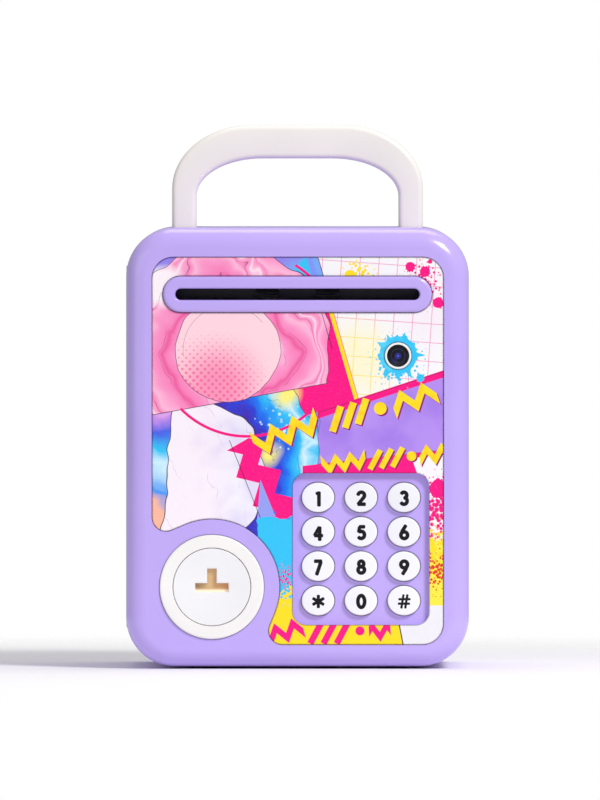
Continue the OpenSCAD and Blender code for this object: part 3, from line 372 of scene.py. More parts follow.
# squiggles are middle, turn, length, height, step, width; slashes are first, shift, turn, length, width
strokeRows = {
    "upper": {"first": ((-4.5, 93.0), 21, 27.0, 6.4, 4.5, 2.7),
              "last": ((46.0, 106.4), 19, 18.0, 6.0, 4.5, 2.7),
              "slashes": ((15.4, 98.4), (5.0, 1.5), 72, 10.5, 2.7), "dot": ((32.6, 102.6), 2.5)},
    "lower": {"first": ((18.2, 81.2), 8, 17.5, 4.4, 2.9, 2.1), "last": ((54.0, 84.6), 6, 12.0, 4.6, 3.0, 2.2),
              "slashes": ((30.6, 82.4), (4.4, 0.5), 62, 8.6, 2.2), "dot": ((44.9, 83.8), 1.9)},
    "foot": {"first": ((-4.6, 14.6), 16, 14.0, 5.0, 3.5, 2.4), "last": ((32.4, 14.8), 4, 8.6, 4.4, 2.9, 2.2),
             "slashes": ((7.6, 14.8), (5.2, 0.0), 62, 11.0, 2.6), "dot": ((24.6, 15.0), 1.8)},
}


class Sheet:  # flat drawing on the panel: distances in x and z, below 0 inside a shape
    def __init__(self, finish):
        self.finish = finish
        self.flat = finish.node("ShaderNodeCombineXYZ", None,
                                {0: finish.axis("X"), 1: finish.axis("Z"), 2: 1.0})
        self.picture = None

    def moved(self, dx, dz):
        other = Sheet(self.finish)
        other.flat = self.flat.vector("SUBTRACT", (dx, dz, 0))
        return other

    def warped(self, size, reach):
        wobble = self.finish.noise(1 / size, 2, where=self.flat, out="Color")
        other = Sheet(self.finish)
        other.flat = self.flat.vector("ADD", wobble.vector("SUBTRACT", (0.5, 0.5, 0.5))
                                      .vector("MULTIPLY", (reach, reach, 0)))
        return other

    def line(self, start, end):  # above 0 to the right of start -> end
        dx, dz = end[0] - start[0], end[1] - start[1]
        size = math.hypot(dx, dz)
        nx, nz = dz / size, -dx / size
        return self.flat.dot((nx, nz, -nx * start[0] - nz * start[1]))

    def patch(self, *corners):  # a convex patch, corners in counter-clockwise order
        worst = None
        for start, end in zip(corners, corners[1:] + corners[:1]):
            edge = self.line(start, end)
            worst = edge if worst is None else worst.most(edge)
        return worst

    def spot(self, centre, radius=0.0):
        return self.flat.vector("SUBTRACT", (centre[0], centre[1], 1)).length() - radius

    def turnedTo(self, centre, angle):  # along and across a direction
        c, s = math.cos(math.radians(angle)), math.sin(math.radians(angle))
        along = self.flat.dot((c, s, -c * centre[0] - s * centre[1]))
        across = self.flat.dot((-s, c, s * centre[0] - c * centre[1]))
        return along, across

    def bar(self, centre, angle, length, width):
        along, across = self.turnedTo(centre, angle)
        return (abs(along) - length / 2).most(abs(across) - width / 2)

    def hoop(self, centre, radius, width):
        return abs(self.spot(centre, radius)) - width / 2

    def zigzag(self, centre, angle, length, height, step, width):
        along, across = self.turnedTo(centre, angle)
        teeth = along.calc("PINGPONG", step) * (height / step) - height / 2
        slant = math.hypot(1, height / step)
        stroke = (abs(across - teeth) - width * slant / 2) / slant
        return stroke.most(abs(along) - length / 2)

    def splat(self, centre, radius, spikes=0.8, grain=1.6):
        out = self.flat.vector("SUBTRACT", (centre[0], centre[1], 1))
        heading = out.vector("NORMALIZE")
        rays = self.finish.noise(grain, 2, where=heading.vector("ADD", (centre[0], centre[1], 0)))
        rays = ((rays - 0.42) * 2.4).clamped() ** 2.2
        return out.length() - (rays * (radius * spikes) + radius * 0.8)

    def drops(self, centre, reach, size, scale):
        cell = self.finish.cells(scale, where=self.flat)
        nearness = (1 - self.spot(centre) / reach).clamped()
        return cell - nearness * size

    def lay(self, distance, colour, soft=0.16):
        mask = distance if soft is None else distance.within(soft)
        self.picture = self.finish.mix(mask, self.picture, colour)

    def ink(self, distance, width=0.14, strength=0.8, limit=None):  # an outline, or its part inside a limit
        pen = abs(distance) - width
        if limit is not None:
            pen = pen.most(limit)
        self.lay(pen.within(0.12) * strength, panelLook["ink"], None)


def strokeRow(sheet, name):  # a squiggle, three slashes, a dot and a squiggle
    row = strokeRows[name]
    (x, z), (dx, dz), angle, length, width = row["slashes"]
    strokes = sheet.zigzag(*row["first"])
    for step in range(3):
        strokes = strokes.least(sheet.bar((x + dx * step, z + dz * step), angle, length, width))
    strokes = strokes.least(sheet.spot(*row["dot"]))
    return strokes.least(sheet.zigzag(*row["last"]))


def ringAndCore(finish, sheet, soft, streak):  # blue ring with a bright flow, round a pale core
    look = panelLook
    toRing = soft.spot(look["ringAt"])
    flow = toRing + (streak - 0.5) * 16
    blues = finish.ramp(((flow - look["core"]) / 24).clamped(),
                        [(0.0, look["indigo"]), (0.16, look["deepBlue"]), (0.34, look["blue"]),
                         (0.58, look["cyan"]), (0.76, look["ice"]), (0.9, look["cyan"]),
                         (1.0, look["periwinkle"])])
    ring = toRing - look["ring"]
    sheet.lay(ring, blues)
    glint = soft.spot((-3.5, 107.0), 4.6).least(soft.spot((-10.5, 84.0), 3.4))
    sheet.lay(glint, look["lemon"], 5.0)
    sheet.lay(soft.spot((-54.0, 71.0), 4.0), look["peach"], 5.0)
    sheet.lay(soft.spot((-53.0, 92.0), 5.5), look["rose"], 6.0)
    strands = flow * 0.9 + finish.noise(0.3, 2, where=soft.flat) * 5
    strands = (strands.calc("PINGPONG", 4.4) - 0.16).within(0.2)
    sheet.lay(strands * (ring.within() * streak.fade(0.42, 0.56)) * 0.75, look["blueThread"], None)
    sheet.lay(sheet.drops((-6.0, 96.0), 17.0, 0.34, 0.42).most(ring), look["ice"])
    sheet.ink(ring)

    x = finish.axis("X")
    core = toRing - look["core"]
    mist = finish.noise(0.07, 2, where=soft.flat) * 0.7 + (x + 44) * 0.008
    pale = finish.mix(mist.fade(0.35, 0.75), look["cloud"], look["shade"])
    pale = finish.mix((x + 24).fade(6.0, -14.0) * 0.4, pale, look["warmCloud"])
    sheet.lay(core.most(-54.0 - x), pale)
    hatch = sheet.turnedTo((0, 0), 108)[1] + (finish.noise(0.09, 2, where=sheet.flat) - 0.5) * 15
    patchy = finish.noise(0.12, 2, where=sheet.flat).fade(0.46, 0.6)
    hatch = (hatch.calc("PINGPONG", 5.2) - 0.07).within(0.12) * patchy
    sheet.lay(hatch * core.within() * 0.6, look["hatch"], None)
    sheet.ink(core, 0.16, 0.9)


def leftFlank(finish, sheet, soft, streak):  # cool strip down the left edge
    look = panelLook
    z = finish.axis("Z")
    drift = soft.flat.dot((0.12, 1.0, -60.0)) + (streak - 0.5) * 14
    strip = finish.ramp((drift / 58).clamped(),
                        [(0.0, look["apricot"]), (0.07, look["azure"]), (0.2, look["ice"]),
                         (0.32, look["cyan"]), (0.48, look["iris"]), (0.6, look["orchid"]),
                         (0.76, look["cyan"]), (0.9, look["cobalt"]), (1.0, look["indigo"])])
    flank = soft.flat.dot((1.0, -0.10, 59.5))
    sheet.lay(flank.most(z - 116.0), strip)
    sheet.ink(flank, 0.2, 0.9, z - 112.0)


def coreSlash(finish, sheet):  # magenta zigzag across the core's edge
    look = panelLook
    along, across = sheet.turnedTo((-13.6, 74.0), -60)
    teeth = along.calc("PINGPONG", 6.5) * 1.05 - 3.4
    sheet.lay((abs(across + teeth) - 5.0).most(abs(along) - 17.5), look["magenta"])
    sheet.lay(sheet.patch((-16.0, 57.5), (-8.6, 60.0), (-14.6, 74.5)), look["slashTip"])
    sheet.ink(sheet.line((-27.6, 92.0), (-13.2, 56.0)), 0.15, 0.85, abs(finish.axis("Z") - 72.0) - 18.0)


def swirlAndSun(finish, sheet, soft, streak):  # pink swirl with a light sun inside it
    look = panelLook
    toSun = soft.spot(look["swirlAt"])
    swirl = toSun + (finish.noise(0.045, 2, where=soft.flat) - 0.5) * 30
    pinks = finish.ramp(swirl.calc("PINGPONG", 12.0) / 12.0,
                        [(0.0, look["deepPink"]), (0.16, look["swirlRose"]), (0.5, look["swirlPink"]),
                         (0.74, look["swirlPale"]), (0.84, look["pink"]), (0.95, look["swirlSoft"]),
                         (1.0, look["swirlLight"])])
    edge = (toSun - look["swirl"]).most(sheet.line((-60.0, 99.5), (12.0, 112.5)))
    sheet.lay(edge, pinks)
    sheet.lay(soft.spot((-53.5, 150.0), 7.5), look["swirlGlint"], 4.0)
    threads = (swirl.calc("PINGPONG", 4.3) - 0.10).within(0.15) * edge.within() * streak.fade(0.42, 0.52)
    sheet.lay(threads * 0.65, look["pinkThread"], None)
    sheet.ink(edge, 0.15, 0.85)
    arc = sheet.hoop((-20.0, 128.0), 36.4, 1.1).most(sheet.line((-8.0, 150.0), (8.0, 170.0)) * -1)
    sheet.lay(arc, look["magenta"])
    sun = sheet.warped(16.0, 3.4).spot(look["swirlAt"], look["sun"])
    blush = finish.mix(sheet.spot((-31.0, 111.0)).fade(24.0, 4.0), look["softPink"], look["sunBlush"])
    sheet.lay(sun, blush)
    u, v = sheet.turnedTo(look["swirlAt"], 45)
    dots = finish.node("ShaderNodeCombineXYZ", None, {0: u.calc("PINGPONG", 1.05) - 1.05,
                                                       1: v.calc("PINGPONG", 1.05) - 1.05, 2: 0.0}).length()
    size = sheet.spot((-36.0, 106.0)).fade(34.0, 8.0) * 0.62
    sheet.lay((dots - size).within(0.12) * sun.within() * 0.75, look["sunDots"], None)
    sheet.ink(sun, 0.13, 0.75)
    sheet.ink(sheet.spot(look["swirlAt"], look["sun"] - 3.0), 0.1, 0.5, sheet.line((-52, 120), (-10, 138)))


def squaredPaper(finish, sheet):  # squared paper with its yellow rule
    look = panelLook
    z = finish.axis("Z")
    edge = sheet.line(look["wedgeTip"], look["wedgeTop"])
    paper = (-edge).most(sheet.line(look["wedgeTip"], look["bandRight"]))
    along, across = sheet.turnedTo((30.0, 130.0), -4)
    step = look["gridStep"] / 2
    squares = along.calc("PINGPONG", step).least(across.calc("PINGPONG", step)) - 0.14
    tint = finish.mix(sheet.spot((24.0, 122.0)).fade(22.0, 4.0) * 0.55, look["paper"], look["paperSun"])
    tint = finish.mix(sheet.spot((52.0, 140.0)).fade(20.0, 2.0) * 0.4, tint, look["paperRose"])
    rules = finish.mix(sheet.spot((22.0, 120.0)).fade(22.0, 12.0), look["gridLine"], look["gridSun"])
    sheet.lay(paper, finish.mix(squares.within(0.16), tint, rules))
    sheet.lay((abs(edge + 3.2) - 1.1).most(146.0 - z), look["marginBlue"])
    rule = (abs(edge + 1.0) - 0.75).most(sheet.line(look["wedgeTip"], look["bandRight"]) - 1.4)
    sheet.lay(rule.most(z - 141.0), look["yellow"])
    sheet.ink(edge - 0.1, 0.16, 0.9, 149.0 - z)
    sheet.ink(edge + 4.6, 0.14, 0.85, abs(z - 133.0) - 7.0)
    sheet.lay(sheet.splat((20.6, 155.0), 2.6), look["yellow"])
    sheet.lay(sheet.drops((24.0, 155.0), 10.0, 0.62, 0.62), look["yellow"])


def violetBand(finish, sheet, soft):  # violet band, the magenta bands round it and the yellow strokes
    look = panelLook
    x = finish.axis("X")
    topEdge = sheet.line(look["wedgeTip"], look["bandRight"])
    lowEdge = sheet.line(look["lowLeft"], look["lowRight"])
    leftEdge = soft.flat.dot((-1, 0, 7.5))
    violet = (-topEdge).most(lowEdge).most(leftEdge)
    mist = finish.noise(0.06, 2, where=sheet.flat).fade(0.35, 0.7)
    sheet.lay(violet, finish.mix(mist, look["violet"], look["violetDeep"]))
    sheet.lay((abs(topEdge - 0.9) - 1.35).most(8.0 - x), look["magenta"])
    sheet.lay((-lowEdge).most(2.0 - x), look["magenta"])
    sheet.lay(sheet.patch((47.5, 76.0), (60.0, 76.0), (60.0, 84.6), (45.0, 83.0)), look["paper"])
    sheet.ink(violet, 0.12, 0.6)
    shadow = strokeRow(sheet.moved(0.55, -0.6), "upper").least(strokeRow(sheet.moved(0.5, -0.55), "lower"))
    sheet.lay(shadow, look["strokeShade"])
    body = strokeRow(sheet, "upper").least(strokeRow(sheet, "lower"))
    sheet.lay(body, finish.mix(finish.noise(0.3, 2).fade(0.4, 0.7), look["yellow"], look["yellowDeep"]))


def rightAndFoot(finish, sheet):  # right strip, and the foot of the panel with its corner of paper
    look = panelLook
    x, z = finish.axis("X"), finish.axis("Z")
    strip = finish.mix(z.fade(56.0, 48.0), look["paper"], look["stripYellow"])
    sheet.lay((50.5 - x).most(z - 76.0), strip)
    sheet.lay(sheet.splat((55.5, 71.0), 4.4, 0.9, 2.4), look["magenta"])
    for colour, *spray in (("magenta", (55.0, 62.0), 22.0, 0.72, 0.7),
                           ("ember", (54.0, 40.0), 16.0, 0.66, 0.9),
                           ("yellow", (53.0, 48.0), 16.0, 0.6, 0.5)):
        sheet.lay(sheet.drops(*spray).most(49.0 - x), look[colour])
    pool = sheet.warped(6.0, 5.0)
    sheet.lay(pool.patch((-14.0, 30.0), (2.0, 30.0), (2.0, 59.0), (-16.0, 59.0)), look["cyan"])
    sheet.lay(pool.patch((-20.0, 0.0), (44.0, 0.0), (44.0, 33.0), (-20.0, 33.0)), look["yellow"])
    sheet.lay(sheet.drops((-5.0, 33.0), 11.0, 0.7, 0.7), look["cyan"])
    sheet.lay(sheet.drops((-4.0, 36.0), 9.0, 0.6, 1.1), look["magenta"])
    sheet.lay(strokeRow(sheet, "foot"), look["magenta"])
    corner = sheet.line((38.4, 26.0), (41.9, 8.0))
    sheet.lay(corner.most(z - 25.0), look["cornerPaper"])
    sheet.ink(corner, 0.24, 0.95, z - 20.0)


def splashes(finish, sheet):  # cyan round the lens, magenta in the upper right corner
    look = panelLook
    wet = finish.mix(finish.noise(0.2, 2).fade(0.4, 0.7), look["cyan"], look["splashLight"])
    sheet.lay(sheet.splat((39.6, 123.6), 9.2, 1.35, 2.6), wet)
    sheet.lay(sheet.drops((39.6, 121.0), 15.0, 0.62, 0.6), look["cyan"])
    sheet.lay(sheet.splat((48.4, 114.6), 1.9, 1.0, 3.0), look["cyan"])
    for centre, radius in (((44.4, 158.4), 2.3), ((50.2, 156.4), 2.5), ((55.4, 144.2), 2.6),
                           ((52.2, 160.4), 1.1)):
        sheet.lay(sheet.splat(centre, radius, 0.9, 2.6), look["magenta"])
    sheet.lay(sheet.drops((50.0, 152.0), 14.0, 0.55, 0.7), look["magenta"])


def panelArt(name):
    look = panelLook
    finish = Finish(name, {"Coat Weight": 0.25, "Coat Roughness": 0.05, "IOR": 1.5,
                           "Specular IOR Level": 0.3})
    sheet = Sheet(finish)
    soft = sheet.warped(22.0, 13.0)
    streak = finish.noise(0.10, 3, where=soft.flat)
    sheet.picture = finish.mix(finish.noise(0.05, 2, where=sheet.flat).fade(0.35, 0.65), look["gapViolet"],
                               look["gapBlue"])
    sheet.lay(soft.spot((2.5, 157.0), 4.2), look["cyan"], 1.5)  # the gap at the top
    sheet.lay(sheet.patch((-22.0, 150.0), (-22.0, 92.0), look["wedgeTip"], (11.5, 150.0)), look["magenta"])
    ringAndCore(finish, sheet, soft, streak)
    leftFlank(finish, sheet, soft, streak)
    coreSlash(finish, sheet)
    swirlAndSun(finish, sheet, soft, streak)
    squaredPaper(finish, sheet)
    violetBand(finish, sheet, soft)
    rightAndFoot(finish, sheet)
    splashes(finish, sheet)

    fleck = finish.noise(3.2, 3)
    printed = finish.mix(fleck.fade(0.55, 0.8) * 0.06, sheet.picture, (1, 1, 1, 1))
    eased = finish.eased(0.0003)
    # painted shade: the panel's edges are darkened to the ink colour for the shade in the seam round it
    printed = finish.mix(finish.edges(finish.eased(0.0009)), printed, look["ink"])
    ripple = finish.noise(0.12, 2) * 2.2 + fleck * 0.12
    finish.feed(printed, 0.2 + finish.noise(0.08, 4) * 0.12, finish.bump(ripple, 0.10, 0.00008, eased))
    return finish.material


# meshes are rings of points in millimetres, x and z across, y in depth

def addPiece(name, shape, finish, body, smooth=35.0, replacing=()):
    mesh = shape.mesh(name)
    work = bmesh.new()
    work.from_mesh(mesh)
    bmesh.ops.recalc_face_normals(work, faces=work.faces)
    work.to_mesh(mesh)
    work.free()
    mesh.shade_smooth()
    mesh.set_sharp_from_angle(angle=math.radians(smooth))
    mesh.materials.append(finish)
    piece = bpy.data.objects.new(name, mesh)
    bpy.context.scene.collection.objects.link(piece)
    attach(piece, body)
    if replacing:
        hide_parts(*replacing)
    return piece


class Shape:  # collects rings and patches, then becomes one piece
    def __init__(self):
        self.verts = []
        self.faces = []

    def ring(self, points):
        start = len(self.verts)
        self.verts += points
        return list(range(start, len(self.verts)))

    def join(self, first, second):
        count = len(first)
        for i in range(count):
            j = (i + 1) % count
            self.faces.append((first[i], first[j], second[j], second[i]))

    def cap(self, ring):
        self.faces.append(tuple(ring))

    def mesh(self, name):
        made = bpy.data.meshes.new(name)
        made.from_pydata([(x * mm, y * mm, z * mm) for x, y, z in self.verts], [], self.faces)
        return made

    def loft(self, rings, closed=False):  # closed joins the last ring to the first, else both ends are capped
        made = [self.ring(points) for points in rings]
        for first, second in zip(made, made[1:]):
            self.join(first, second)
        if closed:
            self.join(made[-1], made[0])
        else:
            self.cap(made[0])
            self.cap(made[-1])


def ovalRing(centre, halfWide, halfHigh, depth, count=64):
    return [(centre[0] + halfWide * math.cos(math.tau * i / count), depth,
             centre[1] + halfHigh * math.sin(math.tau * i / count)) for i in range(count)]


def pillRing(centre, width, height, depth, count=80):
    radius = height / 2
    reach = width / 2 - radius
    points = []
    for i in range(count):
        angle = math.tau * (i + 0.5) / count
        shift = reach if math.cos(angle) > 0 else -reach
        x = centre[0] + shift + radius * math.cos(angle)
        points.append((x, depth, centre[1] + radius * math.sin(angle)))
    return points


def quarterTurn(steps, first=0):  # 1 - cosine and 1 - sine along a quarter of a circle
    angles = [math.pi / 2 * k / steps for k in range(first, steps + 1)]
    return [(1 - math.cos(angle), 1 - math.sin(angle)) for angle in angles]


def midOf(node):  # middle in x and z, then both corners, in millimetres
    low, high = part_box(node)
    return ((low.x + high.x) / 2 / mm, (low.z + high.z) / 2 / mm), low / mm, high / mm


handleLook = {"legWidth": 9.7, "barHeight": 13.2, "outerShoulder": (31.5, 25.2),
              "innerShoulder": (26.0, 15.0), "softEdge": 2.1, "shoulderSteps": 22}


def carryingHandle(finish):
    look = handleLook
    centre, low, high = midOf("carry_handle")
    half = high.x - centre[0]
    thick = (high.y - low.y) / 2
    middle = (high.y + low.y) / 2
    pivot = low.z + thick
    tall = high.z - pivot
    outW, outH = look["outerShoulder"]
    inW, inH = look["innerShoulder"]
    inner = half - look["legWidth"]
    under = tall - look["barHeight"]
    side = []  # stations of one side, each: outer point, inner point, half thickness
    for k in range(7):
        angle = math.pi / 2 * (1 - k / 7)
        drop = thick * math.sin(angle)
        side.append(((half, -drop), (inner, -drop), max(0.15, thick * math.cos(angle))))
    for k in range(6):
        side.append(((half, (tall - outH) * k / 6), (inner, (under - inH) * k / 6), thick))
    for along, up in quarterTurn(look["shoulderSteps"]):
        side.append(((half - outW * along, tall - outH * up), (inner - inW * along, under - inH * up), thick))
    stations = side + [((-o[0], o[1]), (-i[0], i[1]), t) for o, i, t in reversed(side)]
    rings = []
    for outer, inside, t in stations:
        ox, oz = outer
        ix, iz = inside
        length = math.hypot(ix - ox, iz - oz)
        ux, uz = (ix - ox) / length, (iz - oz) / length
        soft = min(look["softEdge"], t * 0.92)
        points = []
        corners = ((length - soft, t - soft, 0), (soft, t - soft, 90), (soft, soft - t, 180),
                   (length - soft, soft - t, 270))
        for s, d, start in corners:
            for step in range(7):
                angle = math.radians(start + 15 * step)
                along = s + soft * math.cos(angle)
                points.append((centre[0] + ox + ux * along, middle + d + soft * math.sin(angle),
                               pivot + oz + uz * along))
        rings.append(points)
    shape = Shape()
    shape.loft(rings)
    return addPiece("carryingHandle", shape, finish, "handle", 50, ["carry_handle"])


slotLook = {"width": 96.0, "height": 4.5, "lip": 0.75, "shoulder": 1.3, "shoulderDeep": 1.05, "foot": 2.1,
            "sleeve": 3.2}


def slotSurround(finish):
    look = slotLook
    centre, low, high = midOf("slot_frame")
    width, height = (high.x - low.x), (high.z - low.z)
    proud = low.y
    inset = (height - look["height"]) / 2
    deep, foot = look["shoulderDeep"], proud + look["foot"]
    steps = [(0.0, foot), (0.0, proud + deep)]  # inset and depth of each ring, outside first
    steps += [(look["shoulder"] * along, proud + deep * up) for along, up in quarterTurn(8, 1)]
    steps.append((inset - look["lip"] - 0.5, proud + 0.10))
    steps += [(inset - look["lip"] * up, proud + 0.12 + look["lip"] * 1.3 * along)
              for along, up in quarterTurn(8)]
    rings = [pillRing(centre, width - 2 * step, height - 2 * step, depth) for step, depth in steps]
    for grow, depth in ((0.02, high.y), (look["sleeve"], high.y), (look["sleeve"], foot)):
        rings.append(pillRing(centre, look["width"] + grow, look["height"] + grow, depth))
    shape = Shape()
    shape.loft(rings, closed=True)
    return addPiece("slotSurround", shape, finish, "door", 40, ["slot_frame"])


def turnedPiece(name, centre, profile, finish, body, replacing=(), count=96, closed=True, smooth=35):
    shape = Shape()
    shape.loft([ovalRing(centre, radius, radius, depth, count) for radius, depth in profile], closed=closed)
    return addPiece(name, shape, finish, body, smooth, replacing)


def roundedOff(profile, corner, radius, steps=5):  # a quarter round in place of a corner of a profile
    before, at, after = profile[corner - 1], profile[corner], profile[corner + 1]

    def toward(p):
        size = math.hypot(p[0] - at[0], p[1] - at[1])
        reach = min(radius, size * 0.49)
        return at[0] + (p[0] - at[0]) * reach / size, at[1] + (p[1] - at[1]) * reach / size
    a, b = toward(before), toward(after)
    arc = []
    for k in range(steps + 1):
        t = k / steps
        arc.append(tuple((1 - t) ** 2 * p + 2 * t * (1 - t) * q + t * t * r for p, q, r in zip(a, at, b)))
    return profile[:corner] + arc + profile[corner + 1:]


padLook = {"ringInner": 15.45, "tube": 18.3, "ringDeep": 1.6, "padOuter": 15.25, "dish": 0.8, "edge": 0.35,
           "plate": 2.5, "skirt": 5.5, "flange": 6.6, "skirtWall": 1.8, "windowEdge": 0.16,
           "bar": (13.1, 3.5), "stem": (3.7, 5.7), "windowLow": -2.0}


def padSurround(finish):
    centre, low, high = midOf("pad_ring")
    reach = high.x - centre[0]
    front = low.y
    back = front + padLook["ringDeep"]
    inner, tube = padLook["ringInner"], padLook["tube"]
    profile = [(tube, high.y), (tube, back), (reach, back), (reach, front), (inner, front), (inner, high.y)]
    profile = roundedOff(profile, 4, 0.3)
    profile = roundedOff(profile, 3, 0.95, 8)
    return turnedPiece("padSurround", centre, profile, finish, "door", ["pad_ring"])


def fingerPad(finish):
    look = padLook
    centre, low, high = midOf("finger_pad")
    radius = look["padOuter"]
    rimFront = low.y
    floor = look["windowLow"]
    barW, barH = look["bar"][0] / 2, look["bar"][1]
    stemW, stemTop = look["stem"][0] / 2, floor + barH + look["stem"][1]

    def windowReach(angle, grow):  # out to the edge of the inverted T along a direction
        c, s = math.cos(angle), math.sin(angle)

        def box(wide, bottom, top):
            reach = 1e9
            if abs(c) > 1e-9:
                reach = min(reach, wide / abs(c))
            if s > 1e-9:
                reach = min(reach, top / s)
            if s < -1e-9:
                reach = min(reach, bottom / s)
            return reach
        return max(box(barW + grow, floor - grow, floor + barH + grow),
                   box(stemW + grow, floor - grow, stemTop + grow))

    angles = [math.tau * i / 96 for i in range(96)]
    for px, pz in ((barW, floor), (barW, floor + barH), (stemW, floor + barH), (stemW, stemTop)):
        angles += [math.atan2(pz, px) % math.tau, math.atan2(pz, -px) % math.tau]
    angles = sorted(set(round(a, 6) for a in angles))

    def dishDepth(reach):
        return rimFront + look["dish"] * (1 - (reach / radius) ** 2)

    def ringAt(distance, depthOf):
        points = []
        for angle in angles:
            reach = distance(angle)
            points.append((centre[0] + reach * math.cos(angle), depthOf(reach),
                           centre[1] + reach * math.sin(angle)))
        return points

    edge = look["windowEdge"]
    plateBack = rimFront + look["plate"]
    rings = [ringAt(lambda a: windowReach(a, 0), lambda r: plateBack),
             ringAt(lambda a: windowReach(a, 0), lambda r: dishDepth(r) + edge * 1.4),
             ringAt(lambda a: windowReach(a, edge * 0.3), lambda r: dishDepth(r) + edge * 0.4),
             ringAt(lambda a: windowReach(a, edge), dishDepth)]
    for k in range(1, 9):
        t = k / 8
        rings.append(ringAt(lambda a, t=t: windowReach(a, edge) * (1 - t) + (radius - look["edge"]) * t,
                            dishDepth))
    for along, up in quarterTurn(5, 1):
        rings.append(ringAt(lambda a, up=up: radius - look["edge"] * up,
                            lambda r, along=along: rimFront + look["edge"] * along + 0.02))
    flange = high.x - centre[0]
    inside = radius - look["skirtWall"]
    skirt, back = rimFront + look["skirt"], rimFront + look["flange"]
    for reach, depth in ((radius, skirt), (flange, skirt), (flange, back), (inside, back),
                         (inside, plateBack)):
        rings.append(ringAt(lambda a, reach=reach: reach, lambda r, depth=depth: depth))
    shape = Shape()
    shape.loft(rings, closed=True)
    return addPiece("fingerPad", shape, finish, "finger_pad", 38, ["finger_pad"])


lensLook = {"rim": 4.4, "bevel": 0.25, "round": 0.2, "bulge": 0.62, "glassEdge": 0.75, "domeSteps": 11}


def lensPieces(trimFinish, glassFinish):
    centre, low, high = midOf("lens_ring_trim")
    reach = high.x - centre[0]
    rim, bevel = lensLook["rim"], lensLook["bevel"]
    profile = [(rim, high.y), (rim, low.y + 0.1), (rim + 0.28, low.y), (reach - bevel, low.y),
               (reach, low.y + bevel), (reach, high.y)]
    profile = roundedOff(profile, 4, lensLook["round"])
    profile = roundedOff(profile, 3, lensLook["round"])
    turnedPiece("lensTrim", centre, profile, trimFinish, "door", ["lens_ring_trim"], 72)
    centre, low, high = midOf("lens_glass")
    reach = high.x - centre[0] - 0.02
    profile = [(reach, high.y), (reach, low.y + lensLook["glassEdge"])]
    for k in range(lensLook["domeSteps"]):
        share = 1 - k / lensLook["domeSteps"]
        profile.append((reach * 0.985 * share, low.y + lensLook["bulge"] * share ** 2))
    turnedPiece("lensDome", centre, profile, glassFinish, "door", ["lens_glass"], 72,
                closed=False, smooth=50)


keyLook = {"halfWide": 6.45, "halfHigh": 5.85, "dome": 0.32, "edge": 0.62, "flange": 0.6,
           "flangeAt": (4.4, 5.2), "stem": 2.2, "stemEnd": 7.9, "legend": 5.9, "stroke": 0.25,
           "roundEnd": 0.5, "step": 0.07, "nudge": (0.12, -0.3)}


def keyCap(node, finish):
    look = keyLook
    centre, low = midOf(node)[:2]
    front = low.y
    wide, tall = look["halfWide"], look["halfHigh"]
    rings = []
    for k in range(8):  # domed face, out from the middle
        share = 0.04 + 0.96 * k / 7
        inW, inH = (wide - look["edge"]) * share, (tall - look["edge"]) * share
        rings.append(ovalRing(centre, inW, inH, front + look["dome"] * share ** 2, 56))
    for along, up in quarterTurn(6, 1):
        rings.append(ovalRing(centre, wide - look["edge"] * up, tall - look["edge"] * up,
                              front + look["dome"] + look["edge"] * along, 56))
    flange, (top, under), stem = look["flange"], look["flangeAt"], look["stem"]
    for grow, depth in ((0, top), (flange, top + 0.02), (flange, under), (stem - wide, under + 0.02),
                        (stem - wide, look["stemEnd"])):
        rings.append(ovalRing(centre, wide + grow, tall + max(grow, stem - tall), front + depth, 56))
    shape = Shape()
    shape.loft(rings)
    return addPiece("cap_" + node[4:], shape, finish, node, 40, [node])


def arcOf(cx, cz, rx, rz, start, end, count=14):
    angles = [math.radians(start + (end - start) * i / count) for i in range(count + 1)]
    return [(cx + rx * math.cos(angle), cz + rz * math.sin(angle)) for angle in angles]


